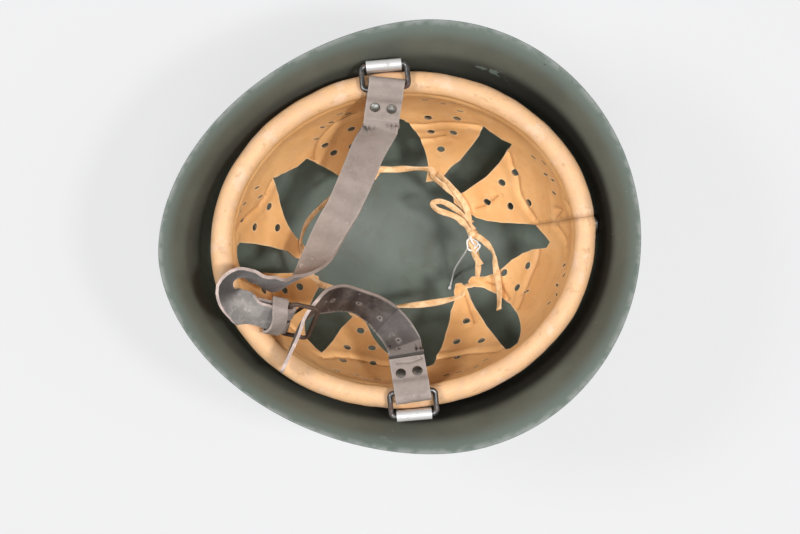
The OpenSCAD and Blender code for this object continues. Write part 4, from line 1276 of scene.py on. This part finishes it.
class HELMET_OT_lace(bpy.types.Operator):
    """Lace through the tongues' tips, its knot and bow, and the white thread"""

    bl_idname = "helmet.lace"
    bl_label = "Lace"

    def execute(self, context):
        z = sizes()
        leather = lace_leather()
        bm = bmesh.new()
        thong(bm, LACE, z.lace_width, 1.4, 1.0, 1.0)
        finished("lace_round", bm, [leather], "helmet", ["crown_lace"])
        bm = bmesh.new()
        for k, strand in enumerate((BOW, SECOND, LONG_TAIL, SHORT_TAIL)):
            thong(bm, strand, z.lace_width, 1.3, 0.7, 3.0 + k)
        for tilt in (0.0, 0.9, 2.1):
            axis = (math.cos(tilt), math.sin(tilt), 0.35)
            winding(bm, 10, 28, bowl(*KNOT), axis, 2.5, (0.7, 1.5), lambda a: (0, 0.5 * math.sin(2 * a + tilt)))
        finished("lace_knot", sealed(bm), [leather], "helmet", ["lace_bow"])

        cotton = cloth("cotton", (0.97, 0.97, 0.96), 0.7)
        bm = bmesh.new()
        half = z.thread / 2
        for place, axis, reach in THREAD_COILS:
            around = Vector(THREAD[0]) + Vector(place)
            winding(bm, 10, 36, around, axis, reach, (half, half), lambda a: (0.5 * math.sin(3 * a + reach), 0))
        end = Matrix.Translation(Vector(THREAD[-1]) * MM)
        bmesh.ops.create_uvsphere(bm, u_segments=16, v_segments=10, radius=THREAD_KNOT * MM, matrix=end)
        finished("thread_wraps", sealed(bm), [cotton], "helmet")

        line = bpy.data.curves.new("white_thread", "CURVE")
        line.dimensions = "3D"
        line.bevel_depth = half * MM
        line.bevel_resolution = 3
        line.use_fill_caps = True
        stations = [mix(0, len(THREAD) - 1, i / THREAD_STEPS) for i in range(THREAD_STEPS + 1)]
        path = [Vector(curve(THREAD, s)) * MM for s in stations]
        spline = line.splines.new("POLY")
        spline.points.add(THREAD_STEPS)
        for point, p in zip(spline.points, path):
            point.co = (*p, 1.0)
        spline.use_smooth = True
        line.materials.append(cotton)
        thread = bpy.data.objects.new("white_thread", line)
        context.scene.collection.objects.link(thread)
        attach(thread, "helmet")
        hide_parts("lace_thread")
        length = sum((b - a).length for a, b in zip(path, path[1:]))
        tuple(path[0])
        z.thread * MM
        return {"FINISHED"}


# Stage


# Name, place, size in metres and power in watts
LAMPS = (
    ("soft_left", (-0.9, 0.25, 1.4), 0.45, 14.0),
    ("soft_right", (1.0, -0.2, 1.4), 0.5, 5.0),
    ("key_right", (0.55, -0.2, 1.5), 0.16, 11.5),
    ("overhead", (0.0, -0.3, 1.5), 0.3, 5.0),
)
LIT_POINT = Vector((0, 0, 0.1))
WORLD = 0.05
PAPER_SEEN, PAPER_SHARE = 0.87, 0.78
EYE, EYE_TURN, LENS = (-0.0008, -0.01605, 1.158), -5, 76.5
FLOOR_REACH, FLOOR_DROP = 9.0, 0.0002


class HELMET_OT_stage(bpy.types.Operator):
    """Pale sweep, soft light and the camera straight above the bowl"""

    bl_idname = "helmet.stage"
    bl_label = "Stage"

    def execute(self, context):
        scene = context.scene
        camera = bpy.data.cameras.new("camera")
        camera.sensor_width = 36.0
        camera.lens = LENS
        eye = bpy.data.objects.new("camera", camera)
        eye.location = EYE
        eye.rotation_euler = (0, 0, math.radians(EYE_TURN))
        scene.collection.objects.link(eye)
        scene.camera = eye

        bm = bmesh.new()
        bmesh.ops.create_grid(bm, x_segments=8, y_segments=8, size=FLOOR_REACH)
        mesh = bpy.data.meshes.new("floor")
        bm.to_mesh(mesh)
        bm.free()
        floor = bpy.data.objects.new("floor", mesh)
        floor.location = (0, 0, -FLOOR_DROP)
        scene.collection.objects.link(floor)
        # The camera and the reflections see part of the paper as evenly lit
        backdrop, paper = colours().backdrop, Finish("paper", Roughness=0.9)
        paper.put(Base_Color=paper.blend(paper.speckle(400, 2), shade(backdrop, 0.985), backdrop))
        ray = paper.node("ShaderNodeLightPath", {}, {})
        glow = paper.node("ShaderNodeEmission", {}, {"Color": (PAPER_SEEN, PAPER_SEEN, PAPER_SEEN * 1.01, 1.0)})
        share = (ray.part("Is Camera Ray") + ray.part("Is Glossy Ray")) * PAPER_SHARE
        seen = paper.node("ShaderNodeMixShader", {}, {0: share, 1: Flow(paper, paper.skin.outputs[0]), 2: glow})
        paper.tree.links.new(seen.socket, paper.tree.nodes["Material Output"].inputs["Surface"])
        mesh.materials.append(paper.material)

        world = bpy.data.worlds.new("studio")
        world.use_nodes = True
        sky = world.node_tree.nodes["Background"].inputs
        sky["Color"].default_value = (0.95, 0.97, 1.0, 1.0)
        sky["Strength"].default_value = WORLD
        scene.world = world
        for name, place, reach, watts in LAMPS:
            lamp = bpy.data.lights.new(name, "AREA")
            lamp.shape, lamp.size, lamp.energy = "SQUARE", reach, watts
            light = bpy.data.objects.new(name, lamp)
            light.location = place
            light.rotation_euler = (LIT_POINT - Vector(place)).to_track_quat("-Z", "Y").to_euler()
            scene.collection.objects.link(light)
        scene.view_settings.view_transform = "Standard"
        return {"FINISHED"}


class HELMET_PT_pieces(bpy.types.Panel):
    """Lists the helmet's pieces"""

    bl_label = "Steel helmet"
    bl_idname = "HELMET_PT_pieces"
    bl_space_type = "VIEW_3D"
    bl_region_type = "UI"
    bl_category = "Helmet"

    def draw(self, context):
        for name in ("shell", "liner", "straps", "metalwork", "lace", "stage"):
            self.layout.operator(f"helmet.{name}")
        for group in (context.scene.helmet_sizes, context.scene.helmet_colours):
            box = self.layout.box()
            for key in group.bl_rna.properties.keys():
                if key not in ("rna_type", "name"):
                    box.prop(group, key)


CLASSES = (
    HelmetSizes,
    HelmetColours,
    HELMET_OT_stage,
    HELMET_OT_lace,
    HELMET_OT_shell,
    HELMET_OT_liner,
    HELMET_OT_straps,
    HELMET_OT_metalwork,
    HELMET_PT_pieces,
)


def register():
    for cls in CLASSES:
        bpy.utils.register_class(cls)
    bpy.types.Scene.helmet_sizes = bpy.props.PointerProperty(type=HelmetSizes)
    bpy.types.Scene.helmet_colours = bpy.props.PointerProperty(type=HelmetColours)


def unregister():
    del bpy.types.Scene.helmet_colours
    del bpy.types.Scene.helmet_sizes
    for cls in reversed(CLASSES):
        bpy.utils.unregister_class(cls)


def main():
    register()
    bpy.ops.helmet.stage()
    bpy.ops.helmet.lace()
    bpy.ops.helmet.shell()
    bpy.ops.helmet.liner()
    bpy.ops.helmet.straps()
    bpy.ops.helmet.metalwork()


if __name__ == "__main__":
    main()
